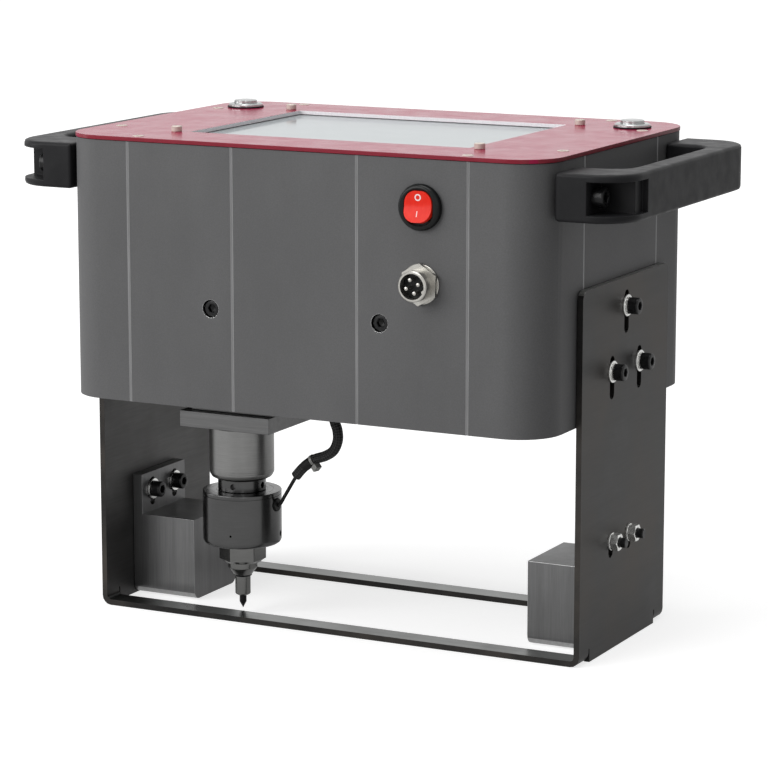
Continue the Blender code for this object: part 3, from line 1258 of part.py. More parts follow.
# ---------------------------------------------------------------- the whole machine
def build():
    for old in list(bpy.data.objects):
        bpy.data.objects.remove(old, do_unlink=True)

    leg_steel = material("leg_steel", (0.16, 0.16, 0.16), 0.42, 0.8)
    block_steel = material("block_steel", (0.30, 0.30, 0.30), 0.38, 0.9)
    casing_grey = material("casing_grey", (0.14, 0.14, 0.14), 0.5, 0.3)
    red = material("red_plate", (0.42, 0.02, 0.05), 0.2)
    glass = material("screen_glass", (0.75, 0.80, 0.82), 0.06, alpha=0.4)
    screen_grey = material("screen_grey", (0.62, 0.66, 0.68), 0.3)
    board_green = material("board_green", (0.03, 0.18, 0.08), 0.5)
    nylon = material("black_nylon", (0.018, 0.018, 0.018), 0.45)
    black_steel = material("black_steel", (0.02, 0.02, 0.02), 0.35, 0.7)
    zinc = material("zinc_steel", (0.70, 0.70, 0.70), 0.25, 1.0)
    aluminium = material("aluminium", (0.42, 0.42, 0.42), 0.35, 1.0)
    steel = material("bright_steel", (0.45, 0.45, 0.45), 0.25, 1.0)
    chrome = material("chrome", (0.85, 0.85, 0.85), 0.1, 1.0)
    copper = material("copper", (0.60, 0.26, 0.10), 0.35, 1.0)
    rubber = material("black_rubber", (0.015, 0.015, 0.015), 0.6)
    rocker_red = material("rocker_red", (0.75, 0.02, 0.02), 0.25)

    leg_frame(leg_steel)
    for side, sign in (("left", -1), ("right", 1)):
        block_slide = empty(f"{side}_block_axis", (sign * LEG_INNER_X, BLOCK_MIDDLE, BLOCK_BOLT_HEIGHT))
        side_block(f"{side}_side_block", sign, block_steel, block_slide)
        block_fasteners(side, sign, black_steel, zinc)

    housing = empty("casing_axis", (0, 0, CASING_BOTTOM))
    casing(casing_grey, housing)
    casing_bolts(black_steel, housing)
    top_plate(red, housing)
    screen(glass, screen_grey, board_green, housing)
    switch(nylon, rocker_red, housing)
    power_socket(chrome, housing)
    for side, sign in (("left", -1), ("right", 1)):
        push_button(side, sign, chrome, housing)
        handle(f"{side}_handle", sign, nylon, housing)
    x_beams(aluminium, steel, housing)
    beam_screws(black_steel, housing)

    x_axis = empty("x_stage_axis", (HEAD_X, 0, RAIL_Z), housing)
    x_stage(aluminium, steel, black_steel, x_axis, housing)
    y_axis = empty("y_stage_axis", (HEAD_X, Y_CAR_Y, Y_CAR_BOTTOM), x_axis)
    y_stage(aluminium, black_steel, y_axis)
    marking_head(aluminium, steel, copper, rubber, y_axis)

    # The origin is below the middle of the whole machine, from the power socket to the rear edge.
    for item in bpy.data.objects:
        if item.parent is None:
            item.location.y += (SOCKET_PROUD - PLATE_OVERHANG) / 2


build()
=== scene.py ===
import json
import math

import bmesh
import bpy
from mathutils import Matrix, Vector

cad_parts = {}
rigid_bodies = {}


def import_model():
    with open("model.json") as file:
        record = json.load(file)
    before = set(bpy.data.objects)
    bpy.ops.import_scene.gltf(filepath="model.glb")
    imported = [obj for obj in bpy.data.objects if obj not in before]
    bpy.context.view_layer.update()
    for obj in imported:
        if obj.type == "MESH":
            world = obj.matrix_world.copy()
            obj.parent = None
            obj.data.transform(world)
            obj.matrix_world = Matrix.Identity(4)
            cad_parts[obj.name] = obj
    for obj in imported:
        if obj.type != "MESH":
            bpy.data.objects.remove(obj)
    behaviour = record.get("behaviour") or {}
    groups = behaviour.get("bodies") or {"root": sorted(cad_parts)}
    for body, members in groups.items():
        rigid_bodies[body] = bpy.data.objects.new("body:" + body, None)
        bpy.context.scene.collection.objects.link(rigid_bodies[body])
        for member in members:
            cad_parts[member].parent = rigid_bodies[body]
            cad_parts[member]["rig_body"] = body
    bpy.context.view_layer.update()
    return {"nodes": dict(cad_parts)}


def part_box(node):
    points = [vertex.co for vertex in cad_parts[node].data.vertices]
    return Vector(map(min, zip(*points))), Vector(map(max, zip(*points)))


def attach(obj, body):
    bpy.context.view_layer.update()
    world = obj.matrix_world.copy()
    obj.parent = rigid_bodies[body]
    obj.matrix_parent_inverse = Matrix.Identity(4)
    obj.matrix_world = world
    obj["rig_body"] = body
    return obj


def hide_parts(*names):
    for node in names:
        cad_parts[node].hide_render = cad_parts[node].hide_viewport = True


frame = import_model()
low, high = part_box("casing")
MIDDLE_Y = (low.y + high.y) / 2  # the casing's middle plane: lengths below are in millimetres from it

# ---------------------------------------------------------------- camera
camera_data = bpy.data.cameras.new("camera")
camera_data.lens = 149.107
camera_data.sensor_width = 36.0
camera_data.clip_end = 50.0
camera = bpy.data.objects.new("camera", camera_data)
camera.location = (0.74355, -1.45602 + MIDDLE_Y, 0.43469)
camera.rotation_euler = (math.radians(79.1815), 0.0, math.radians(26.9846))
bpy.context.scene.collection.objects.link(camera)
bpy.context.scene.camera = camera


# ---------------------------------------------------------------- materials
class Look:
    """A Principled material with a few procedural layers."""

    def __init__(self, name, colour, roughness, metallic=0.0, **sockets):
        self.material = bpy.data.materials.new(name)
        self.material.use_nodes = True
        self.tree = self.material.node_tree
        self.shader = self.tree.nodes["Principled BSDF"]
        self.shader.inputs["Base Color"].default_value = (*colour, 1.0)
        self.shader.inputs["Roughness"].default_value = roughness
        self.shader.inputs["Metallic"].default_value = metallic
        for socket, value in sockets.items():
            self.shader.inputs[socket.replace("_", " ")].default_value = value
        self.colour = None
        self.heights = []

    def node(self, kind, settings=None, **inputs):
        made = self.tree.nodes.new(kind)
        for key, value in (settings or {}).items():
            setattr(made, key, value)
        for key, value in inputs.items():
            socket = made.inputs[int(key[1:])] if key[1:].isdigit() else made.inputs[key.replace("_", " ")]
            if isinstance(value, bpy.types.NodeSocket):
                self.tree.links.new(value, socket)
            else:
                socket.default_value = value
        return made

    def place(self, scale=(1, 1, 1), kind="Object"):
        coordinates = self.node("ShaderNodeTexCoord")
        return self.node("ShaderNodeMapping", Vector=coordinates.outputs[kind], Scale=scale).outputs[0]

    def noise(self, scale, stretch=(1, 1, 1), detail=3.0, roughness=0.55):
        texture = self.node(
            "ShaderNodeTexNoise", Vector=self.place(stretch), Scale=scale, Detail=detail, Roughness=roughness
        )
        return texture.outputs["Fac"]

    def spread(self, value, low, high, start=0.3, end=0.7):
        """Maps a texture's middle range onto low to high."""
        made = self.node("ShaderNodeMapRange", None, i0=value, i1=start, i2=end, i3=low, i4=high)
        return made.outputs[0]

    def tint(self, factor, colour):
        """Mixes the colour so far with another one."""
        base = self.colour or tuple(self.shader.inputs["Base Color"].default_value)
        made = self.node("ShaderNodeMix", {"data_type": "RGBA"}, i0=factor, i6=base, i7=(*colour, 1.0))
        self.colour = made.outputs[2]
        self.tree.links.new(self.colour, self.shader.inputs["Base Color"])
        return self

    def rough(self, value):
        self.tree.links.new(value, self.shader.inputs["Roughness"])
        return self

    def bump(self, height, distance, strength=1.0):
        inputs = {"Height": height, "Distance": distance, "Strength": strength}
        if self.heights:
            inputs["Normal"] = self.heights[-1]
        made = self.node("ShaderNodeBump", None, **inputs)
        self.heights.append(made.outputs[0])
        self.tree.links.new(made.outputs[0], self.shader.inputs["Normal"])
        return self


def brushed(name, colour, roughness, stretch, stains, stain_colour, metallic=1.0, fine=2600.0):
    """Sheet or ground metal: fine parallel lines, slow changes of tone, and cloudy marks."""
    look = Look(name, colour, roughness, metallic)
    lines = look.noise(fine, stretch, 4.0, 0.6)
    broad = look.noise(fine * 0.16, stretch, 2.0, 0.5)
    cloud = look.noise(14.0, (1, 1, 1), 5.0, 0.6)
    look.tint(look.spread(lines, 0.0, 0.42), tuple(c * 1.7 for c in colour))
    look.tint(look.spread(broad, 0.0, 0.35), tuple(c * 0.55 for c in colour))
    look.tint(look.spread(cloud, 0.0, stains, 0.45, 0.75), stain_colour)
    look.rough(look.spread(cloud, roughness * 0.82, roughness * 1.25, 0.25, 0.75))
    look.bump(lines, 0.000008, 0.5)
    return look


def turned_metal(name, colour, roughness, fine=5200.0):
    """Metal turned on a lathe: fine rings across the axis."""
    look = Look(name, colour, roughness, 1.0)
    rings = look.noise(fine, (0.02, 0.02, 1.0), 3.0, 0.6)
    cloud = look.noise(45.0, (1, 1, 1), 3.0, 0.6)
    look.tint(look.spread(rings, 0.0, 0.35), tuple(c * 1.6 for c in colour))
    look.tint(look.spread(cloud, 0.0, 0.25, 0.4, 0.8), tuple(c * 0.5 for c in colour))
    look.rough(look.spread(cloud, roughness * 0.85, roughness * 1.2))
    look.bump(rings, 0.000006, 0.6)
    return look


looks = {}

casing_look = Look("casing_grey", (0.112, 0.112, 0.114), 0.5, 0.0, Specular_IOR_Level=0.22)
grain = casing_look.noise(1500.0, (1, 1, 1), 3.0, 0.6)
mottle = casing_look.noise(26.0, (1, 1, 0.45), 5.0, 0.62)
casing_look.tint(casing_look.spread(mottle, 0.0, 0.55, 0.35, 0.75), (0.150, 0.150, 0.152))
casing_look.tint(casing_look.spread(grain, 0.0, 0.32), (0.060, 0.060, 0.061))
casing_look.rough(casing_look.spread(mottle, 0.46, 0.56))
casing_look.bump(grain, 0.00001, 0.45)
looks["casing"] = casing_look

# The groove colour is a painted highlight: its pale grey stands in for the light caught by the grooves'
# edges.
groove_look = Look("groove_edge", (0.30, 0.30, 0.305), 0.42, 0.3)
groove_look.tint(groove_look.spread(groove_look.noise(90.0, (1, 1, 0.3)), 0.0, 0.5), (0.20, 0.20, 0.20))
looks["groove"] = groove_look

hole_look = Look("bare_edge", (0.75, 0.75, 0.75), 0.25, 1.0)
hole_look.bump(hole_look.noise(2600.0), 0.00001, 0.5)
looks["bare"] = hole_look

plate_look = Look(
    "red_plate", (0.34, 0.008, 0.056), 0.20, 0.0, Specular_IOR_Level=0.15
)
cast = plate_look.noise(30.0, (1, 1, 1), 4.0, 0.6)
plate_look.tint(plate_look.spread(cast, 0.0, 0.35, 0.3, 0.8), (0.28, 0.006, 0.055))
plate_look.tint(plate_look.spread(plate_look.noise(1800.0), 0.0, 0.12), (0.52, 0.05, 0.10))
plate_look.rough(plate_look.spread(plate_look.noise(70.0), 0.17, 0.25))
plate_look.bump(plate_look.noise(900.0), 0.000006, 0.4)
looks["plate"] = plate_look

rim_look = Look("plate_edge", (0.20, 0.004, 0.018), 0.3, 0.0, Specular_IOR_Level=0.3)
rim_look.tint(rim_look.spread(rim_look.noise(1600.0, (0.1, 0.1, 1.0)), 0.0, 0.5), (0.30, 0.01, 0.03))
looks["rim"] = rim_look

# The window walls are painted near white: a painted reflection that stands in for the pale band on the red
# plate's window walls.
sill_look = Look("window_edge_reflection", (0.84, 0.80, 0.82), 0.4, 0.0)
sill_look.tint(sill_look.spread(sill_look.noise(1100.0, (1, 1, 0.2)), 0.0, 0.5), (0.70, 0.64, 0.68))
looks["sill"] = sill_look

# The glass's pale blue-grey base colour is a painted reflection of the white surroundings.
glass_look = Look("touch_glass", (0.66, 0.72, 0.74), 0.05, 0.0, Alpha=0.75, Specular_IOR_Level=0.3)
glass_look.rough(glass_look.spread(glass_look.noise(35.0, (1, 1, 1), 4.0), 0.04, 0.11))
looks["glass"] = glass_look

# The display's pale blue-grey is partly its own tone and partly a painted reflection of the white
# surroundings; its pixel grid and haze are its own.
display_look = Look("display_face", (0.68, 0.76, 0.78), 0.35, 0.0)
haze = display_look.noise(9.0, (1, 1, 1), 2.0)
display_look.tint(display_look.spread(haze, 0.0, 0.35, 0.35, 0.7), (0.56, 0.64, 0.67))
dots = display_look.node(
    "ShaderNodeTexChecker", None, Vector=display_look.place(), Scale=3400.0
).outputs["Fac"]
display_look.tint(display_look.spread(dots, 0.0, 0.07, 0.0, 1.0), (0.50, 0.56, 0.60))
looks["display"] = display_look

nylon_look = Look("black_nylon", (0.010, 0.010, 0.011), 0.42, 0.0, Specular_IOR_Level=0.12)
pebble = nylon_look.noise(2300.0, (1, 1, 1), 2.0, 0.5)
nylon_look.tint(nylon_look.spread(nylon_look.noise(60.0, (1, 1, 1), 4.0), 0.0, 0.5), (0.022, 0.022, 0.023))
nylon_look.rough(nylon_look.spread(nylon_look.noise(120.0), 0.36, 0.5))
nylon_look.bump(pebble, 0.00004, 0.35)
looks["nylon"] = nylon_look

gloss_look = Look("gloss_black", (0.008, 0.009, 0.009), 0.22, 0.0, Specular_IOR_Level=0.16)
gloss_look.bump(gloss_look.noise(700.0), 0.000006, 0.3)
gloss_look.rough(gloss_look.spread(gloss_look.noise(160.0), 0.18, 0.28))
looks["gloss"] = gloss_look

# The faint red emission is a painted glow; the rocker is no lamp.
rocker_look = Look(
    "rocker_red", (0.74, 0.018, 0.008), 0.3, 0.0, Subsurface_Weight=0.2, Specular_IOR_Level=0.15,
    Emission_Color=(0.9, 0.03, 0.01, 1.0), Emission_Strength=0.06,
)
rocker_look.shader.inputs["Subsurface Radius"].default_value = (0.003, 0.0006, 0.0004)
rocker_look.tint(rocker_look.spread(rocker_look.noise(420.0, (1, 1, 0.4)), 0.0, 0.35), (0.92, 0.05, 0.025))
looks["rocker"] = rocker_look

white_look = Look("white_mark", (0.95, 0.80, 0.80), 0.35, 0.0)
white_look.tint(white_look.spread(white_look.noise(2500.0), 0.0, 0.4), (0.85, 0.62, 0.62))
looks["white"] = white_look

looks["leg"] = brushed(
    "leg_steel", (0.025, 0.0245, 0.024), 0.40, (1.0, 0.05, 1.0), 0.8, (0.072, 0.063, 0.055), 0.9, 900.0
)
# The inner faces get a lighter copy of the leg steel: painted light on the sides that face the casing.
looks["leg_inner_painted_light"] = brushed(
    "leg_inner_painted_light", (0.064, 0.063, 0.062), 0.42, (1.0, 0.05, 1.0), 0.5, (0.040, 0.038, 0.036), 0.7, 900.0
)
# The leg's rounded top edges are painted pale: a painted highlight along them.
looks["leg_edge_highlight"] = brushed(
    "leg_edge_highlight", (0.30, 0.30, 0.29), 0.3, (1.0, 0.05, 0.05), 0.4, (0.12, 0.12, 0.11), 1.0, 2600.0
)
# The rail tops get a lighter copy of the leg steel: partly their own lengthwise grain, partly painted light
# on the upward faces.
looks["rail_top"] = brushed(
    "rail_top", (0.16, 0.165, 0.16), 0.3, (0.03, 1.0, 1.0), 0.6, (0.05, 0.05, 0.048), 1.0, 2200.0
)
looks["block"] = brushed(
    "block_steel", (0.144, 0.144, 0.145), 0.38, (1.0, 1.0, 0.03), 0.35, (0.075, 0.075, 0.075), 0.9, 1500.0
)
# The side blocks' rounded front edges are painted pale: a painted highlight along them.
looks["block_edge_highlight"] = brushed(
    "block_edge_highlight", (0.36, 0.36, 0.36), 0.3, (1.0, 1.0, 0.05), 0.2, (0.22, 0.22, 0.22)
)
looks["aluminium"] = brushed(
    "aluminium", (0.125, 0.125, 0.125), 0.38, (0.03, 1.0, 1.0), 0.3, (0.07, 0.07, 0.07), 1.0, 2000.0
)
looks["sleeve"] = turned_metal("turned_aluminium", (0.185, 0.185, 0.182), 0.34, 4200.0)
looks["housing"] = turned_metal("turned_steel", (0.078, 0.078, 0.078), 0.22, 6200.0)
looks["nose"] = turned_metal("nose_steel", (0.13, 0.13, 0.127), 0.24, 5200.0)
looks["ground"] = brushed(
    "ground_steel", (0.42, 0.42, 0.41), 0.22, (0.03, 1.0, 1.0), 0.2, (0.2, 0.2, 0.2), 1.0, 2600.0
)
looks["dark_tip"] = turned_metal("dark_tip", (0.016, 0.016, 0.017), 0.34, 5200.0)

zinc_look = Look("zinc_plate", (0.84, 0.84, 0.82), 0.26, 1.0)
zinc_look.tint(zinc_look.spread(zinc_look.noise(520.0, (1, 1, 1), 5.0), 0.0, 0.5), (0.60, 0.60, 0.59))
zinc_look.rough(zinc_look.spread(zinc_look.noise(300.0), 0.20, 0.36))
looks["zinc"] = zinc_look

post_look = Look("cream_post", (0.62, 0.56, 0.50), 0.45, 0.2)
post_look.tint(post_look.spread(post_look.noise(900.0), 0.0, 0.4), (0.50, 0.42, 0.38))
looks["post"] = post_look

nickel_look = Look("bright_nickel", (0.44, 0.43, 0.40), 0.3, 0.95)
nickel_look.tint(nickel_look.spread(nickel_look.noise(240.0, (1, 1, 1), 4.0), 0.0, 0.4), (0.33, 0.32, 0.30))
nickel_look.rough(nickel_look.spread(nickel_look.noise(180.0), 0.24, 0.36))
looks["nickel"] = nickel_look

button_look = Look("button_steel", (0.46, 0.47, 0.47), 0.24, 1.0)
button_look.tint(button_look.spread(button_look.noise(3000.0, (0.03, 1, 1)), 0.0, 0.4), (0.30, 0.31, 0.31))
button_look.rough(button_look.spread(button_look.noise(140.0), 0.16, 0.28))
looks["button"] = button_look

black_look = Look("black_oxide", (0.007, 0.007, 0.008), 0.34, 0.1, Specular_IOR_Level=0.25)
black_look.tint(black_look.spread(black_look.noise(420.0, (1, 1, 1), 5.0), 0.0, 0.5), (0.017, 0.017, 0.016))
black_look.rough(black_look.spread(black_look.noise(500.0), 0.22, 0.42))
black_look.bump(black_look.noise(2600.0), 0.00001, 0.4)
looks["black"] = black_look

rubber_look = Look("cable_jacket", (0.009, 0.009, 0.009), 0.5, 0.0, Specular_IOR_Level=0.15)
wear = rubber_look.noise(700.0, (1, 1, 1), 4.0)
rubber_look.tint(rubber_look.spread(wear, 0.0, 0.5), (0.018, 0.018, 0.018))
rubber_look.bump(rubber_look.noise(1500.0), 0.00004, 0.4)
looks["rubber"] = rubber_look

copper_look = Look("copper_winding", (0.60, 0.24, 0.09), 0.32, 1.0)
turns = copper_look.node(
    "ShaderNodeTexWave", {"bands_direction": "Z"}, Vector=copper_look.place(), Scale=900.0, Distortion=0.3
).outputs["Fac"]
copper_look.tint(copper_look.spread(turns, 0.0, 0.6, 0.0, 1.0), (0.30, 0.10, 0.04))
copper_look.bump(turns, 0.0001, 0.8)
looks["copper"] = copper_look

board_look = Look("circuit_board", (0.02, 0.14, 0.06), 0.42, 0.0)
tracks = board_look.node(
    "ShaderNodeTexBrick", None, Vector=board_look.place(), Scale=260.0, Mortar_Size=0.06
).outputs["Fac"]
board_look.tint(board_look.spread(tracks, 0.0, 0.8, 0.0, 1.0), (0.05, 0.26, 0.12))
looks["board"] = board_look

braid_look = Look("braided_sleeving", (0.010, 0.010, 0.010), 0.46, 0.0, Specular_IOR_Level=0.2)
uv = braid_look.place((1, 1, 1), "UV")
split = braid_look.node("ShaderNodeSeparateXYZ", None, Vector=uv)
weave = []
for sign in (1.0, -1.0):
    along = braid_look.node("ShaderNodeMath", {"operation": "MULTIPLY"}, i0=split.outputs[1], i1=sign)
    total = braid_look.node("ShaderNodeMath", {"operation": "ADD"}, i0=split.outputs[0], i1=along.outputs[0])
    wave = braid_look.node("ShaderNodeMath", {"operation": "SINE"}, i0=total.outputs[0])
    weave.append(wave.outputs[0])
crossed = braid_look.node("ShaderNodeMath", {"operation": "MULTIPLY"}, i0=weave[0], i1=weave[1]).outputs[0]
braid_look.tint(braid_look.spread(crossed, 0.0, 0.75, -0.6, 0.9), (0.055, 0.055, 0.055))
braid_look.bump(crossed, 0.00025, 0.9)
looks["braid"] = braid_look

tie_look = Look("cable_tie", (0.20, 0.20, 0.19), 0.32, 0.0)
tie_look.tint(tie_look.spread(tie_look.noise(1500.0), 0.0, 0.5), (0.30, 0.30, 0.28))
looks["tie"] = tie_look

paint = {key: look.material for key, look in looks.items()}


# ---------------------------------------------------------------- shapes
def ring(radius, height, count=48):
    """A closed loop of points. The radius may be a function of the angle."""
    points = []
    for i in range(count):
        turn = 2 * math.pi * i / count
        reach = radius(turn) if callable(radius) else radius
        points.append((reach * math.cos(turn), reach * math.sin(turn), height))
    return points


def hexagonal(flats, phase=0.0):
    """A hexagon's outline as a function of the angle, for ring."""

    def radius(turn):
        return flats / 2 / math.cos((turn + phase) % (math.pi / 3) - math.pi / 6)

    return radius


def skin(loops, closed=False, caps=(True, True)):
    """Joins loops of equal count with quads. Closed joins the last loop to the first."""
    shape = bmesh.new()
    rows = [[shape.verts.new(point) for point in loop] for loop in loops]
    pairs = list(zip(rows, rows[1:]))
    if closed:
        pairs.append((rows[-1], rows[0]))
    for one, two in pairs:
        count = len(one)
        for i in range(count):
            j = (i + 1) % count
            shape.faces.new((one[i], one[j], two[j], two[i]))
    if not closed:
        if caps[0]:
            shape.faces.new(rows[0][::-1])
        if caps[1]:
            shape.faces.new(rows[-1])
    bmesh.ops.recalc_face_normals(shape, faces=shape.faces)
    return shape


def lathe(profile, count=64, closed=False):
    return skin([ring(radius, height, count) for radius, height in profile], closed)


def aim(shape, point, direction):
    """Moves a shape made round +Z to the point, with +Z along the direction."""
    turn = Vector(direction).to_track_quat("Z", "Y").to_matrix().to_4x4()
    shape.transform(Matrix.Translation(Vector(point)) @ turn)
    return shape


def finish_mesh(name, shape, material, body, stands, smooth):
    """Makes an object of the shape, with its looks, the nodes it stands for and its body."""
    mesh = bpy.data.meshes.new(name)
    shape.to_mesh(mesh)
    shape.free()
    for one in material if isinstance(material, (list, tuple)) else [material]:
        mesh.materials.append(one)
    mesh.shade_smooth()
    mesh.set_sharp_from_angle(angle=math.radians(smooth))
    item = bpy.data.objects.new(name, mesh)
    bpy.context.scene.collection.objects.link(item)
    normals = item.modifiers.new("normals", "WEIGHTED_NORMAL")
    normals.keep_sharp = True
    if stands:
        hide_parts(*stands)
    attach(item, body)
    return item


def make(name, shape, material, body, stands=(), smooth=32):
    """Adds a piece whose shape is in millimetres from the casing's middle plane."""
    shape.transform(Matrix.Translation((0, MIDDLE_Y, 0)) @ Matrix.Scale(0.001, 4))
    bmesh.ops.recalc_face_normals(shape, faces=shape.faces)
    return finish_mesh(name, shape, material, body, stands, smooth)


def refine(node, material, width=0.25, segments=2, angle=32, smooth=32, regions=(), keep_edge=None):
    """A node's own shape with its coplanar faces joined and its sharp edges rounded.

    Regions paint faces by place. Edges for which keep_edge is true stay sharp.
    """
    source = frame["nodes"][node]
    body = source["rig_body"]
    shape = bmesh.new()
    shape.from_mesh(source.data)
    bmesh.ops.remove_doubles(shape, verts=shape.verts, dist=2e-6)
    bmesh.ops.dissolve_limit(shape, angle_limit=math.radians(0.6), verts=shape.verts, edges=shape.edges)
    if width:
        sharp = [
            edge
            for edge in shape.edges
            if edge.is_manifold
            and edge.calc_face_angle(0.0) > math.radians(angle)
            and not (keep_edge and keep_edge(edge))
        ]
        bmesh.ops.bevel(
            shape, geom=sharp, offset=width / 1000, segments=segments, affect="EDGES", profile=0.5,
            clamp_overlap=True,
        )
    shape.normal_update()
    for face in shape.faces:
        centre = face.calc_center_median()
        place = (centre.x * 1000, (centre.y - MIDDLE_Y) * 1000, centre.z * 1000)
        for index, (test, _) in enumerate(regions, 1):
            if test(place, face.normal, face):
                face.material_index = index
    materials = [material, *[other for _, other in regions]]
    return finish_mesh(f"{node}_finished", shape, materials, body, (node,), smooth)


def cap_screw(name, seat, direction, head, height, flats, stem, length, body, stands=(), slot="black_steel"):
    """A socket head cap screw with a knurled head. It faces along the direction from its seat."""
    half = head / 2

    def knurl(turn):
        return half - (0.07 if round(turn * 72 / (2 * math.pi)) % 2 else 0.0)

    loops = [
        ring(stem / 2 - 0.4, -length, 72),
        ring(stem / 2, -length + 0.4, 72),
        ring(stem / 2, 0, 72),
        ring(half - 0.25, 0, 72),
        ring(knurl, 0.25, 72),
        ring(knurl, height - 0.8, 72),
        ring(half - 0.05, height - 0.6, 72),
        ring(half - 0.35, height - 0.12, 72),
        ring(half - 0.7, height, 72),
        ring(lambda turn: hexagonal(flats)(turn) + 0.25, height, 72),
        ring(hexagonal(flats), height - 0.25, 72),
        ring(hexagonal(flats), height * 0.48, 72),
        ring(0.3, height * 0.30, 72),
    ]
    shape = aim(skin(loops), seat, direction)
    return make(name, shape, paint["black"], body, stands)


def hex_nut(name, seat, direction, flats, height, bore, body, stands=()):
    """A nut whose corners are turned off at both ends."""
    chamfer = flats / 2 * 0.97
    shape_of = hexagonal(flats)

    def edge(lower):
        points = []
        for i in range(72):
            turn = 2 * math.pi * i / 72
            reach = shape_of(turn)
            drop = max(0.0, reach - chamfer) * 0.55
            points.append((reach * math.cos(turn), reach * math.sin(turn), drop if lower else height - drop))
        return points

    loops = [
        ring(bore / 2, 0.3, 72),
        ring(bore / 2 + 0.35, 0, 72),
        ring(chamfer, 0, 72),
        edge(True),
        edge(False),
        ring(chamfer, height, 72),
        ring(bore / 2 + 0.35, height, 72),
        ring(bore / 2, height - 0.3, 72),
    ]
    return make(name, aim(skin(loops, closed=True), seat, direction), paint["zinc"], body, stands)


def flat_washer(name, seat, direction, outer, bore, height, body):
    profile = [(bore / 2, 0), (outer / 2 - 0.1, 0), (outer / 2, 0.1), (outer / 2, height - 0.15)]
    profile += [(outer / 2 - 0.15, height), (bore / 2, height)]
    return make(name, aim(lathe(profile, 56, True), seat, direction), paint["zinc"], body)


def spring_washer(name, seat, direction, outer, bore, height, body):
    """A split ring. Its ends stand a little apart along the axis."""
    loops = []
    steps = 44
    for i in range(steps + 1):
        turn = math.radians(8 + 344 * i / steps)
        rise = 0.22 * (i / steps - 0.5)
        row = []
        for radius, level in ((bore, 0.12), (outer, 0.12), (outer, height - 0.12), (bore, height - 0.12)):
            row.append((radius / 2 * math.cos(turn), radius / 2 * math.sin(turn), level + rise))
        loops.append(row)
    return make(name, aim(skin(loops), seat, direction), paint["zinc"], body)


def sweep(points, radius, count=24):
    """A tube along points. Its UV map holds the turn and the length, in units of a braid's strand."""
    points = [Vector(point) for point in points]
    shape = bmesh.new()
    layer = shape.loops.layers.uv.new("UVMap")
    rows = []
    side = Vector((0, 1, 0))
    lengths = [0.0]
    for one, two in zip(points, points[1:]):
        lengths.append(lengths[-1] + (two - one).length)
    for index, point in enumerate(points):
        before, after = points[max(index - 1, 0)], points[min(index + 1, len(points) - 1)]
        forward = (after - before).normalized()
        across = side.cross(forward).normalized()
        up = forward.cross(across)
        reach = radius(lengths[index] / lengths[-1]) if callable(radius) else radius
        row = []
        for i in range(count):
            turn = 2 * math.pi * i / count
            row.append(shape.verts.new(point + (across * math.cos(turn) + up * math.sin(turn)) * reach))
        rows.append(row)
    for index, (one, two) in enumerate(zip(rows, rows[1:])):
        for i in range(count):
            j = (i + 1) % count
            face = shape.faces.new((one[i], one[j], two[j], two[i]))
            turns = (i, i + 1, i + 1, i)
            marks = (lengths[index], lengths[index], lengths[index + 1], lengths[index + 1])
            for loop, step, mark in zip(face.loops, turns, marks):
                loop[layer].uv = (step / count * 2 * math.pi * 6, mark * 2.4)
    shape.faces.new(rows[0][::-1])
    shape.faces.new(rows[-1])
    return shape


def smooth_line(knots, steps):
    """A Catmull-Rom curve through the knots."""
    ends = [knots[0], *knots, knots[-1]]
    points = []
    for before, one, two, after in zip(ends, ends[1:], ends[2:], ends[3:]):
        for i in range(steps):
            t = i / steps
            points.append(
                tuple(
                    0.5
                    * (
                        2 * b + (c - a) * t + (2 * a - 5 * b + 4 * c - d) * t**2
                        + (3 * b - a - 3 * c + d) * t**3
                    )
                    for a, b, c, d in zip(before, one, two, after)
                )
            )
    return [*points, knots[-1]]


# ---------------------------------------------------------------- the head lead comes first
HEAD_X, HEAD_Y = -62.0, -38.0
LEAD_ROUTE = ((18.0, 61.0), (20.5, 61.0), (22.8, 61.8), (25.4, 66.0), (28.5, 71.1), (32.2, 77.2))
SLEEVING_ROUTE = (
    (32.2, 77.5), (36.2, 82.0), (40.4, 85.5), (44.0, 87.8), (49.7, 89.9), (54.4, 93.2),
    (56.8, 98.7), (56.6, 104.0), (55.0, 108.5), (54.0, 114.0), (54.0, 120.0), (54.0, 132.0),
)
lead_line = smooth_line([(HEAD_X + x, HEAD_Y, z) for x, z in LEAD_ROUTE], 8)
sleeve_line = smooth_line([(HEAD_X + x, HEAD_Y, z) for x, z in SLEEVING_ROUTE], 8)


def lead_piece(name, points, radius, count, key, stands=(), smooth=50):
    return make(name, sweep(points, radius, count), paint[key], "y_stage", stands, smooth)


lead_piece("lead", lead_line, 0.95, 20, "rubber", ("head_cable",))
lead_piece("sleeving", sleeve_line, 2.7, 28, "braid", ("cable_sleeve",))
BOOT_END, TIE_END = 19, 23  # counted in points of the sleeving's line
lead_piece("lead_boot", sleeve_line[:BOOT_END], lambda t: 1.3 + 1.5 * min(1.0, t * 1.6), 28, "rubber")
lead_piece("tie_band", sleeve_line[BOOT_END:TIE_END], 3.05, 32, "tie", (), 40)


def block(low, high, edge=0.3, segments=2):
    """A box between two corners, with rounded edges."""
    shape = bmesh.new()
    bmesh.ops.create_cube(shape, size=1.0)
    size = [b - a for a, b in zip(low, high)]
    middle = [(a + b) / 2 for a, b in zip(low, high)]
    shape.transform(Matrix.Translation(middle) @ Matrix.Diagonal((*size, 1.0)))
    bmesh.ops.bevel(shape, geom=shape.edges[:], offset=edge, segments=segments, affect="EDGES", profile=0.5)
    return shape


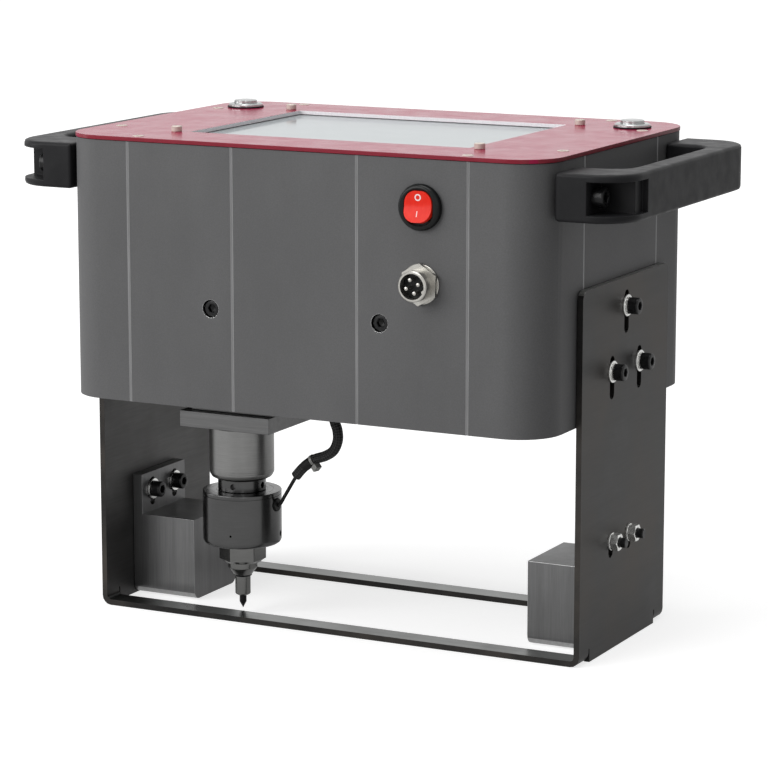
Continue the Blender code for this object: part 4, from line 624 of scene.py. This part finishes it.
tie_point = Vector(sleeve_line[(BOOT_END + TIE_END) // 2])
tie_head = block((-2.0, -1.9, -1.5), (2.0, 1.9, 1.5), 0.4)
aim(tie_head, tie_point + Vector((2.4, -1.2, -3.4)), (0.62, -0.2, -0.62))
make("tie_head", tie_head, paint["tie"], "y_stage")

# ---------------------------------------------------------------- casing
CASING_X, CASING_Y = 135.0, 94.0  # the casing's half length and half depth
FRONT_GROOVES = (-95, -35, 35, 95)
SIDE_GROOVE = 46.5
GROOVE_LOW, GROOVE_HIGH = 122, 254
BEAM_SCREW_X, BEAM_SCREW_Y, BEAM_SCREW_Z = 47.5, 87.8, 172.5


# Faces of the grooves, which carry the painted groove highlight.
def in_groove(place, normal, face):
    x, y, z = place
    if not GROOVE_LOW < z < GROOVE_HIGH:
        return False
    if abs(abs(y) - 93.7) < 0.45 and any(abs(x - mark) < 0.85 for mark in FRONT_GROOVES):
        return abs(normal.x) > 0.25
    return abs(abs(x) - 134.7) < 0.45 and abs(abs(y) - SIDE_GROOVE) < 1.05 and abs(normal.y) > 0.25


def in_screw_hole(place, normal, face):
    x, y, z = place
    reach = math.hypot(abs(x) - BEAM_SCREW_X, z - BEAM_SCREW_Z)
    return abs(reach - 4.6) < 0.6 and abs(y) > 90.5 and abs(normal.y) < 0.97


def groove_edge(edge):
    middle = (edge.verts[0].co + edge.verts[1].co) * 500
    x, y = middle.x, middle.y - MIDDLE_Y * 1000
    near_front = abs(abs(y) - CASING_Y) < 0.8 and any(abs(x - mark) < 1.0 for mark in FRONT_GROOVES)
    near_side = abs(abs(x) - CASING_X) < 0.8 and abs(abs(y) - SIDE_GROOVE) < 0.8
    return near_front or near_side


# The groove faces get the painted highlight; the screw hole walls get bare metal.
refine(
    "casing",
    paint["casing"],
    width=0.35,
    angle=40,
    regions=((in_groove, paint["groove"]), (in_screw_hole, paint["bare"])),
    keep_edge=groove_edge,
)


def plate_side(place, normal, face):
    x, y, z = place
    return abs(normal.z) < 0.75 and (abs(x) > 130 or abs(y) > 90)


# Walls of the plate's window, which carry the painted reflection.
def plate_window(place, normal, face):
    x, y, z = place
    return abs(normal.z) < 0.75 and abs(x) < 82 and abs(y) < 62


refine(
    "top_plate",
    paint["plate"],
    width=0.22,
    angle=40,
    regions=((plate_side, paint["rim"]), (plate_window, paint["sill"])),
)
for node, key in (("screen_glass", "glass"), ("display_module", "display"), ("control_board", "board")):
    frame["nodes"][node].data.materials[0] = paint[key]

# ---------------------------------------------------------------- leg frame and side blocks


# Small upward faces on the leg plates' top edges, which carry the painted edge highlight.
def leg_rim_highlight(place, normal, face):
    x, y, z = place
    return z > 6 and face.calc_area() < 0.0012 and normal.z > 0.6 and abs(x) > 135


# Upward faces of the foot rails, which carry the lighter painted-light copy of the steel.
def rail_face(place, normal, face):
    return place[2] < 6 and normal.z > 0.6


# Inner faces of the leg plates, which carry the lighter painted-light copy of the leg steel.
def leg_inner_painted_light(place, normal, face):
    return abs(place[0]) < 136.5 and abs(normal.x) > 0.6 and place[2] > 6


refine(
    "leg_frame",
    paint["leg"],
    width=0.35,
    angle=40,
    regions=((leg_rim_highlight, paint["leg_edge_highlight"]), (rail_face, paint["rail_top"]), (leg_inner_painted_light, paint["leg_inner_painted_light"])),
)


# Bevel faces that lean towards the front, which carry the painted edge highlight.
def front_bevel_highlight(place, normal, face):
    return 0.25 < -normal.y < 0.97


for side in ("left", "right"):
    refine(f"{side}_side_block", paint["block"], 0.4, 2, 40, regions=((front_bevel_highlight, paint["block_edge_highlight"]),))

M5 = (8.5, 5.0, 4.0, 5.0)  # head, its height, hexagon socket, thread
M6 = (10.0, 6.0, 5.0, 6.0)
M5_HOLE = 5.3
LEG_FACE = 138.65  # the outside of a leg plate
CLAMPS = ((0.0, 174.5, "upper"), (-17.5, 143.5, "front"), (17.5, 143.5, "rear"))
BLOCK_BOLTS = ((-16.5, "front"), (6.5, "rear"))
BLOCK_BOLT_Z = 56.5
BLOCK_SEAT = 128.65  # the inner side of a side block's flange, less its washer
HANDLE_SCREW = (152.05, -74.0, 238.4)
for side, s in (("left", -1), ("right", 1)):
    for y, z, place in CLAMPS:
        name = f"{side}_clamp_{place}"
        flat_washer(f"{name}_washer", (s * LEG_FACE, y, z), (s, 0, 0), 11.0, M5_HOLE, 0.95, "casing")
        spring_washer(f"{name}_spring", (s * (LEG_FACE + 0.95), y, z), (s, 0, 0), 8.9, M5_HOLE, 1.2, "casing")
        cap_screw(
            f"{name}_screw", (s * (LEG_FACE + 2.15), y, z), (s, 0, 0), *M5, 13.8, "casing",
            (f"{side}_clamp_bolt_{place}",),
        )
    for y, place in BLOCK_BOLTS:
        name = f"{side}_block_{place}"
        inner, outer = (s * BLOCK_SEAT, y, BLOCK_BOLT_Z), (s * LEG_FACE, y, BLOCK_BOLT_Z)
        flat_washer(f"{name}_inner_washer", inner, (s, 0, 0), 11.0, M5_HOLE, 1.1, "frame")
        flat_washer(f"{name}_outer_washer", outer, (s, 0, 0), 9.0, M5_HOLE, 1.1, "frame")
        cap_screw(
            f"{name}_screw", (s * (BLOCK_SEAT - 0.05), y, BLOCK_BOLT_Z), (-s, 0, 0), *M5, 18.7, "frame",
            (f"{side}_block_bolt_{place}",),
        )
        hex_nut(
            f"{name}_nut", (s * (LEG_FACE + 1.15), y, BLOCK_BOLT_Z), (s, 0, 0), 8.0, 4.0, M5_HOLE, "frame",
            (f"{side}_block_nut_{place}",),
        )
    x, y, z = HANDLE_SCREW
    cap_screw(f"{side}_handle_screw", (s * x, y, z), (s, 0, 0), *M6, 4.0, "casing")
    refine(f"{side}_handle", paint["nylon"], width=0.35, angle=55, smooth=40)

for s, place in ((-1, "left"), (1, "right")):
    front = (s * BEAM_SCREW_X, -BEAM_SCREW_Y, BEAM_SCREW_Z)
    rear = (s * BEAM_SCREW_X, BEAM_SCREW_Y, BEAM_SCREW_Z)
    cap_screw(
        f"front_beam_{place}_screw", front, (0, -1, 0), *M5, 8.0, "casing", (f"beam_screw_{place}",)
    )
    cap_screw(f"rear_beam_{place}_screw", rear, (0, 1, 0), *M5, 8.0, "casing")

# ---------------------------------------------------------------- on the top plate
PLATE_TOP = 256.5
POST_X, POST_Y = 85.5, 61.0
BUTTON_X, BUTTON_Y = 114.5, 62.0
PLATE_SCREWS = ((125.0, 50.0, "side"), (92.0, 88.0, "edge"))
POST = [
    (0.2, 1.4), (1.0, 1.4), (1.0, 2.6), (1.2, 2.9), (2.45, 2.9), (2.75, 2.6), (2.75, 0.3), (2.55, 0.0),
    (0.2, 0.0),
]


def on_plate(name, shape, x, y):
    spot = (x, y, PLATE_TOP + 0.02)
    return make(name, aim(shape, spot, (0, 0, 1)), paint["post"], "casing")


for sx in (-1, 1):
    for sy in (-1, 1):
        corner = "lr"[sx > 0] + "fb"[sy > 0]
        on_plate(f"post_{corner}", lathe(POST, 40), sx * POST_X, sy * POST_Y)
        for x, y, tag in PLATE_SCREWS:
            disc = [
                ring(hexagonal(2.5), 0.08, 48), ring(hexagonal(2.5), 0.24, 48), ring(1.9, 0.3, 48),
                ring(2.6, 0.26, 48), ring(2.95, 0.12, 48), ring(3.0, 0.0, 48),
            ]
            on_plate(f"top_screw_{tag}_{corner}", skin(disc), sx * x, sy * y)

for side, s in (("left", -1), ("right", 1)):
    centre = (s * BUTTON_X, BUTTON_Y)
    seal = [(8.2, 0.0), (9.75, 0.0), (9.9, 0.25), (9.9, 0.75), (9.5, 0.85), (9.5, 0.3), (8.2, 0.28)]
    make(
        f"{side}_button_seal", aim(lathe(seal, 72, True), (*centre, PLATE_TOP), (0, 0, 1)), paint["rubber"],
        "casing",
    )
    refine(f"{side}_button_body", paint["button"], 0.0)
    crown = [
        (0.3, 242.6), (1.9, 242.6), (2.0, 251.0), (6.1, 251.0), (6.2, 251.2), (6.2, 260.2), (6.05, 260.45),
        (5.7, 260.58), (4.4, 260.66), (2.4, 260.7), (0.3, 260.7),
    ]
    make(
        f"{side}_button_crown", aim(lathe(crown, 64), (*centre, 0), (0, 0, 1)), paint["button"],
        f"{side}_button", (f"{side}_button_cap",), 30,
    )

# ---------------------------------------------------------------- switch and power socket
SWITCH = (70.0, 231.0)
FACE = -94.0


def control(shape, x, z):
    """Stands a shape made round +Z on the casing's front face."""
    return aim(shape, (x, FACE, z), (0, -1, 0))


def rounded(half_a, half_b, radius):
    """A rounded rectangle as a function of the angle, for ring."""

    def reach(turn):
        c, s = abs(math.cos(turn)), abs(math.sin(turn))
        low, high = 0.0, math.hypot(half_a, half_b)
        for _ in range(30):
            middle = (low + high) / 2
            x, y = c * middle, s * middle
            dx, dy = x - (half_a - radius), y - (half_b - radius)
            inside = x <= half_a and y <= half_b and not (dx > 0 and dy > 0 and math.hypot(dx, dy) > radius)
            low, high = (middle, high) if inside else (low, middle)
        return low

    return reach


mouth = rounded(7.6, 8.6, 6.5)


def well(turn):
    return min(mouth(turn), 5.4 / max(abs(math.sin(turn)), 0.01))


frame_loops = [
    ring(9.8, -12.0, 72), ring(9.8, 0.3, 72), ring(11.4, 0.3, 72), ring(11.5, 0.8, 72), ring(11.42, 1.5, 72),
    ring(11.15, 2.35, 72), ring(10.7, 3.0, 72), ring(10.2, 3.3, 72), ring(9.6, 3.4, 72),
    ring(lambda turn: mouth(turn) + 0.35, 3.35, 72), ring(mouth, 3.05, 72), ring(mouth, 0.95, 72),
    ring(well, 0.9, 72), ring(well, -4.5, 72),
]
make(
    "switch_bezel", control(skin(frame_loops), *SWITCH), paint["gloss"], "casing",
    ("switch_body",), 28,
)
refine("switch_rocker", paint["rocker"], 0.35, 3, 35, smooth=40)

ROCKER_RIDGE = (70.0, -97.56, 231.47)  # the middle of the edge where the rocker's two faces meet
ROCKER_LEAN = math.radians(20)


def rocker_mark(name, shape, along, lower):
    """A mark on the rocker's upper face, which is upright, or on the lower one, which leans out."""
    direction, normal = Vector((0, 0, 1)), Vector((0, -1, 0))
    if lower:
        direction = Vector((0, -math.sin(ROCKER_LEAN), -math.cos(ROCKER_LEAN)))
        normal = Vector((0, -math.cos(ROCKER_LEAN), math.sin(ROCKER_LEAN)))
    spot = Vector(ROCKER_RIDGE) + direction * along + normal * 0.015
    upward = -direction if lower else direction
    right = upward.cross(normal)
    turn = Matrix((right, upward, normal)).transposed().to_4x4()
    shape.transform(Matrix.Translation(spot) @ turn)
    return make(name, shape, paint["white"], "rocker")


circle = lathe([(1.05, 0.0), (1.7, 0.0), (1.7, 0.04), (1.05, 0.04)], 48, True)
rocker_mark("mark_off", circle, 4.6, False)
rocker_mark("mark_on", block((-0.22, -1.4, 0.0), (0.22, 1.4, 0.04), 0.01, 1), 3.5, True)

SOCKET = (70.0, 193.5)
refine("power_socket", paint["nickel"], 0.18, 2, 40, smooth=30)
PIN_CIRCLE, KEY_REACH = 3.4, 6.0
insert = [(0.4, 4.2), (6.36, 4.2), (6.36, 5.4), (6.1, 5.6), (0.4, 5.6)]
make("socket_insert", control(lathe(insert, 56), *SOCKET), paint["gloss"], "casing")
for number in range(4):
    turn = math.radians(20 + 90 * number)
    x, z = SOCKET[0] + PIN_CIRCLE * math.cos(turn), SOCKET[1] + PIN_CIRCLE * math.sin(turn)
    pin = [(1.05, 5.6), (1.05, 9.4), (0.9, 9.75), (0.55, 9.95), (0.15, 10.0)]
    make(f"socket_pin_{number + 1}", control(lathe(pin, 24), x, z), paint["nickel"], "casing")
turn = math.radians(-25)
x, z = SOCKET[0] + KEY_REACH * math.cos(turn), SOCKET[1] + KEY_REACH * math.sin(turn)
tongue = [(0.9, 5.6), (0.9, 9.0), (0.7, 9.2), (0.1, 9.2)]
make("socket_key", control(lathe(tongue, 20), x, z), paint["nickel"], "casing")

# ---------------------------------------------------------------- marking head
refine("head_plate", paint["aluminium"], 0.35, 2, 40)
axis = (HEAD_X, HEAD_Y, 0.0)


def on_head(name, profile, key, stands=(), body="y_stage", count=96, closed=False, smooth=30):
    shape = lathe(profile, count, closed)
    shape.transform(Matrix.Translation(axis))
    return make(name, shape, paint[key], body, stands, smooth)


sleeve = [
    (9.1, 74.0), (13.6, 74.0), (13.75, 74.05), (15.75, 75.1), (15.95, 75.35), (16.85, 77.0), (17.0, 77.4),
    (17.0, 78.0), (16.92, 78.08), (17.0, 78.16), (17.0, 79.1), (16.92, 79.18), (17.0, 79.26), (17.0, 101.4),
    (16.8, 101.6), (9.1, 101.6),
]
on_head("sleeve_finished", sleeve, "sleeve", ("mounting_sleeve",), closed=True)
refine("clamp_collar", paint["housing"], 0.15, 2, 50)
housing = [
    (0.3, 91.6), (8.6, 91.6), (8.8, 91.4), (8.8, 67.6), (13.4, 67.6), (13.5, 67.5), (13.6, 67.6),
    (16.4, 67.6), (16.5, 67.5), (16.6, 67.6), (20.3, 67.6), (20.6, 67.48), (20.75, 67.2), (20.75, 66.1),
    (20.45, 66.0), (20.45, 65.5), (20.75, 65.4), (20.75, 42.2), (20.68, 41.4), (20.45, 40.6),
    (20.0, 39.9), (19.3, 39.4), (18.3, 39.2), (6.3, 39.2), (6.3, 42.6), (17.15, 42.6), (17.15, 64.6),
    (0.3, 64.6),
]
body_shape = lathe(housing, 96)
body_shape.transform(Matrix.Translation(axis))
housing_piece = make(
    "housing_finished", body_shape, [paint["housing"], paint["dark_tip"]], "y_stage",
    ("coil_housing",), 28,
)


def bore(name, target, azimuth, height, diameter, inner, outer):
    """Drills a hole that points away from the head's axis."""
    shape = lathe([(diameter / 2, inner), (diameter / 2, outer)], 24)
    turn = math.radians(azimuth)
    aim(shape, (HEAD_X, HEAD_Y, height), (math.cos(turn), math.sin(turn), 0))
    shape.transform(Matrix.Translation((0, MIDDLE_Y, 0)) @ Matrix.Scale(0.001, 4))
    mesh = bpy.data.meshes.new(name)
    shape.to_mesh(mesh)
    shape.free()
    cutter = bpy.data.objects.new(name, mesh)
    mesh.materials.append(paint["dark_tip"])
    bpy.context.scene.collection.objects.link(cutter)
    change = target.modifiers.new(name, "BOOLEAN")
    change.operation = "DIFFERENCE"
    change.object = cutter
    target.modifiers.move(len(target.modifiers) - 1, 0)
    return cutter


def bake(item, cutters):
    """Applies the item's modifiers except its normals, and removes the cutters."""
    normals = item.modifiers["normals"]
    normals.show_viewport = False
    bpy.context.view_layer.update()
    evaluated = item.evaluated_get(bpy.context.evaluated_depsgraph_get())
    mesh = bpy.data.meshes.new_from_object(evaluated)
    for change in [m for m in item.modifiers if m.type == "BOOLEAN"]:
        item.modifiers.remove(change)
    item.data = mesh
    mesh.set_sharp_from_angle(angle=math.radians(30))
    normals.show_viewport = True
    for cutter in cutters:
        bpy.data.objects.remove(cutter)


bake(
    housing_piece,
    [
        bore("hole_a", housing_piece, 0, 61.0, 7.4, 12.0, 26.0),
        bore("hole_b", housing_piece, -78, 46.4, 1.2, 18.5, 26.0),
        bore("hole_c", housing_piece, 14, 44.6, 3.2, 18.0, 26.0),
    ],
)
nut_loops = []
nut_hex = hexagonal(21.5, math.radians(30 + 2))
for height, reach in (
    (28.9, 6.3), (28.9, 9.9), (29.15, 10.2), (30.3, 99.0), (37.9, 99.0), (38.65, 12.05), (38.9, 11.7),
    (38.9, 6.3),
):
    nut_loops.append(ring(lambda turn, limit=reach: min(nut_hex(turn), limit), height, 120))
nut_shape = skin(nut_loops, closed=True)
nut_shape.transform(Matrix.Translation(axis))
make("nose_nut_finished", nut_shape, paint["nose"], "y_stage", ("nose_nut",), 18)
nose = [
    (2.15, 10.5), (3.15, 10.5), (3.95, 11.1), (4.05, 11.4), (4.05, 20.6), (4.3, 20.9), (6.6, 24.0),
    (7.6, 25.4), (7.8, 25.8), (7.8, 28.4), (7.6, 28.6), (6.0, 28.6), (6.0, 40.9), (2.15, 40.9),
]
on_head("nose_finished", nose, "nose", ("nose_tube",), closed=True, count=72)
on_head(
    "bit_holder", [(4.07, 20.8), (4.55, 20.8), (4.9, 21.3), (4.95, 22.4), (4.07, 22.6)], "dark_tip",
    closed=True, count=48,
)
needle = [
    (0.05, 3.3), (1.72, 6.4), (1.85, 6.7), (1.85, 47.8), (6.0, 47.8), (6.0, 60.8), (0.3, 60.8),
]
on_head("needle", needle, "dark_tip", ("stylus",), body="stylus", count=48)
refine("cable_grommet", paint["rubber"], 0.2, 2, 50)

# ---------------------------------------------------------------- stages and the rest
for node, key in (
    ("coil", "copper"), ("stylus_spring", "ground"), ("front_beam", "aluminium"), ("rear_beam", "aluminium"),
    ("front_rail", "ground"), ("rear_rail", "ground"), ("y_rail", "ground"), ("front_x_car", "black"),
    ("rear_x_car", "black"), ("y_car", "black"), ("bridge", "aluminium"), ("y_carriage", "aluminium"),
    ("cable_clamp", "nylon"), ("x_motor", "black"), ("y_motor", "black"), ("x_screw", "ground"),
    ("y_screw", "ground"),
):
    frame["nodes"][node].data.materials[0] = paint[key]

# ---------------------------------------------------------------- floor, light and view
world = bpy.data.worlds.new("studio")
bpy.context.scene.world = world
world.use_nodes = True
tree = world.node_tree
background = tree.nodes["Background"]
background.inputs["Color"].default_value = (1.0, 1.0, 1.0, 1.0)
path = tree.nodes.new("ShaderNodeLightPath")


def mirrored(tree, path):
    """1 for a ray that shows the background in metal or through glass, and 0 for other rays."""
    either = tree.nodes.new("ShaderNodeMath")
    either.operation = "MAXIMUM"
    tree.links.new(path.outputs["Is Glossy Ray"], either.inputs[0])
    tree.links.new(path.outputs["Is Transmission Ray"], either.inputs[1])
    return either.outputs[0]


def strength(tree, path, plain, glossy, camera_level):
    """A strength for plain light, for mirrored rays and for the camera's own rays."""
    first = tree.nodes.new("ShaderNodeMix")
    first.inputs[2].default_value = plain
    first.inputs[3].default_value = glossy
    tree.links.new(mirrored(tree, path), first.inputs[0])
    second = tree.nodes.new("ShaderNodeMix")
    if isinstance(camera_level, bpy.types.NodeSocket):
        tree.links.new(camera_level, second.inputs[3])
    else:
        second.inputs[3].default_value = camera_level
    tree.links.new(path.outputs["Is Camera Ray"], second.inputs[0])
    tree.links.new(first.outputs[0], second.inputs[2])
    return second.outputs[0]


tree.links.new(strength(tree, path, plain=0.14, glossy=1.0, camera_level=1.0), background.inputs["Strength"])

floor_shape = bmesh.new()
bmesh.ops.create_grid(floor_shape, x_segments=1, y_segments=1, size=30.0)
floor_mesh = bpy.data.meshes.new("floor")
floor_shape.to_mesh(floor_mesh)
floor_shape.free()
floor = bpy.data.objects.new("floor", floor_mesh)
floor.location = (0, 0, -0.0002)
bpy.context.scene.collection.objects.link(floor)
floor_material = bpy.data.materials.new("pale_floor")
floor_material.use_nodes = True
tree = floor_material.node_tree
shader = tree.nodes["Principled BSDF"]
shader.inputs["Base Color"].default_value = (0.55, 0.55, 0.55, 1.0)
shader.inputs["Roughness"].default_value = 0.9
shader.inputs["Specular IOR Level"].default_value = 0.0
shader.inputs["Emission Color"].default_value = (1.0, 1.0, 1.0, 1.0)
path = tree.nodes.new("ShaderNodeLightPath")
spot = tree.nodes.new("ShaderNodeTexCoord")
reach = tree.nodes.new("ShaderNodeVectorMath")
reach.operation = "LENGTH"
tree.links.new(spot.outputs["Object"], reach.inputs[0])
fade = tree.nodes.new("ShaderNodeMapRange")  # the floor turns white away from the object
for key, value in (("From Min", 0.4), ("From Max", 1.6), ("To Min", 0.74), ("To Max", 1.0)):
    fade.inputs[key].default_value = value
tree.links.new(reach.outputs["Value"], fade.inputs["Value"])
level = strength(tree, path, plain=0.0, glossy=0.42, camera_level=fade.outputs[0])
tree.links.new(level, shader.inputs["Emission Strength"])
floor_mesh.materials.append(floor_material)


def lamp(name, place, target, width, height, power):
    data = bpy.data.lights.new(name, "AREA")
    data.shape = "RECTANGLE"
    data.size = width
    data.size_y = height
    data.energy = power
    item = bpy.data.objects.new(name, data)
    item.location = place
    item.rotation_euler = (Vector(target) - Vector(place)).to_track_quat("-Z", "Y").to_euler()
    bpy.context.scene.collection.objects.link(item)
    return item


lamp("key", (-1.5, -2.3, 1.5), (0.0, 0.0, 0.14), 2.2, 2.2, 60.0)
lamp("top", (0.0, -0.2, 2.4), (0.0, 0.0, 0.2), 1.6, 1.6, 30.0)
lamp("strip", (1.05, -1.75, 0.55), (0.0, 0.0, 0.14), 0.22, 1.0, 1.8)
lamp("side", (-2.4, -0.9, 0.7), (0.0, 0.0, 0.14), 0.4, 1.4, 9.0)

bpy.context.scene.view_settings.view_transform = "Standard"
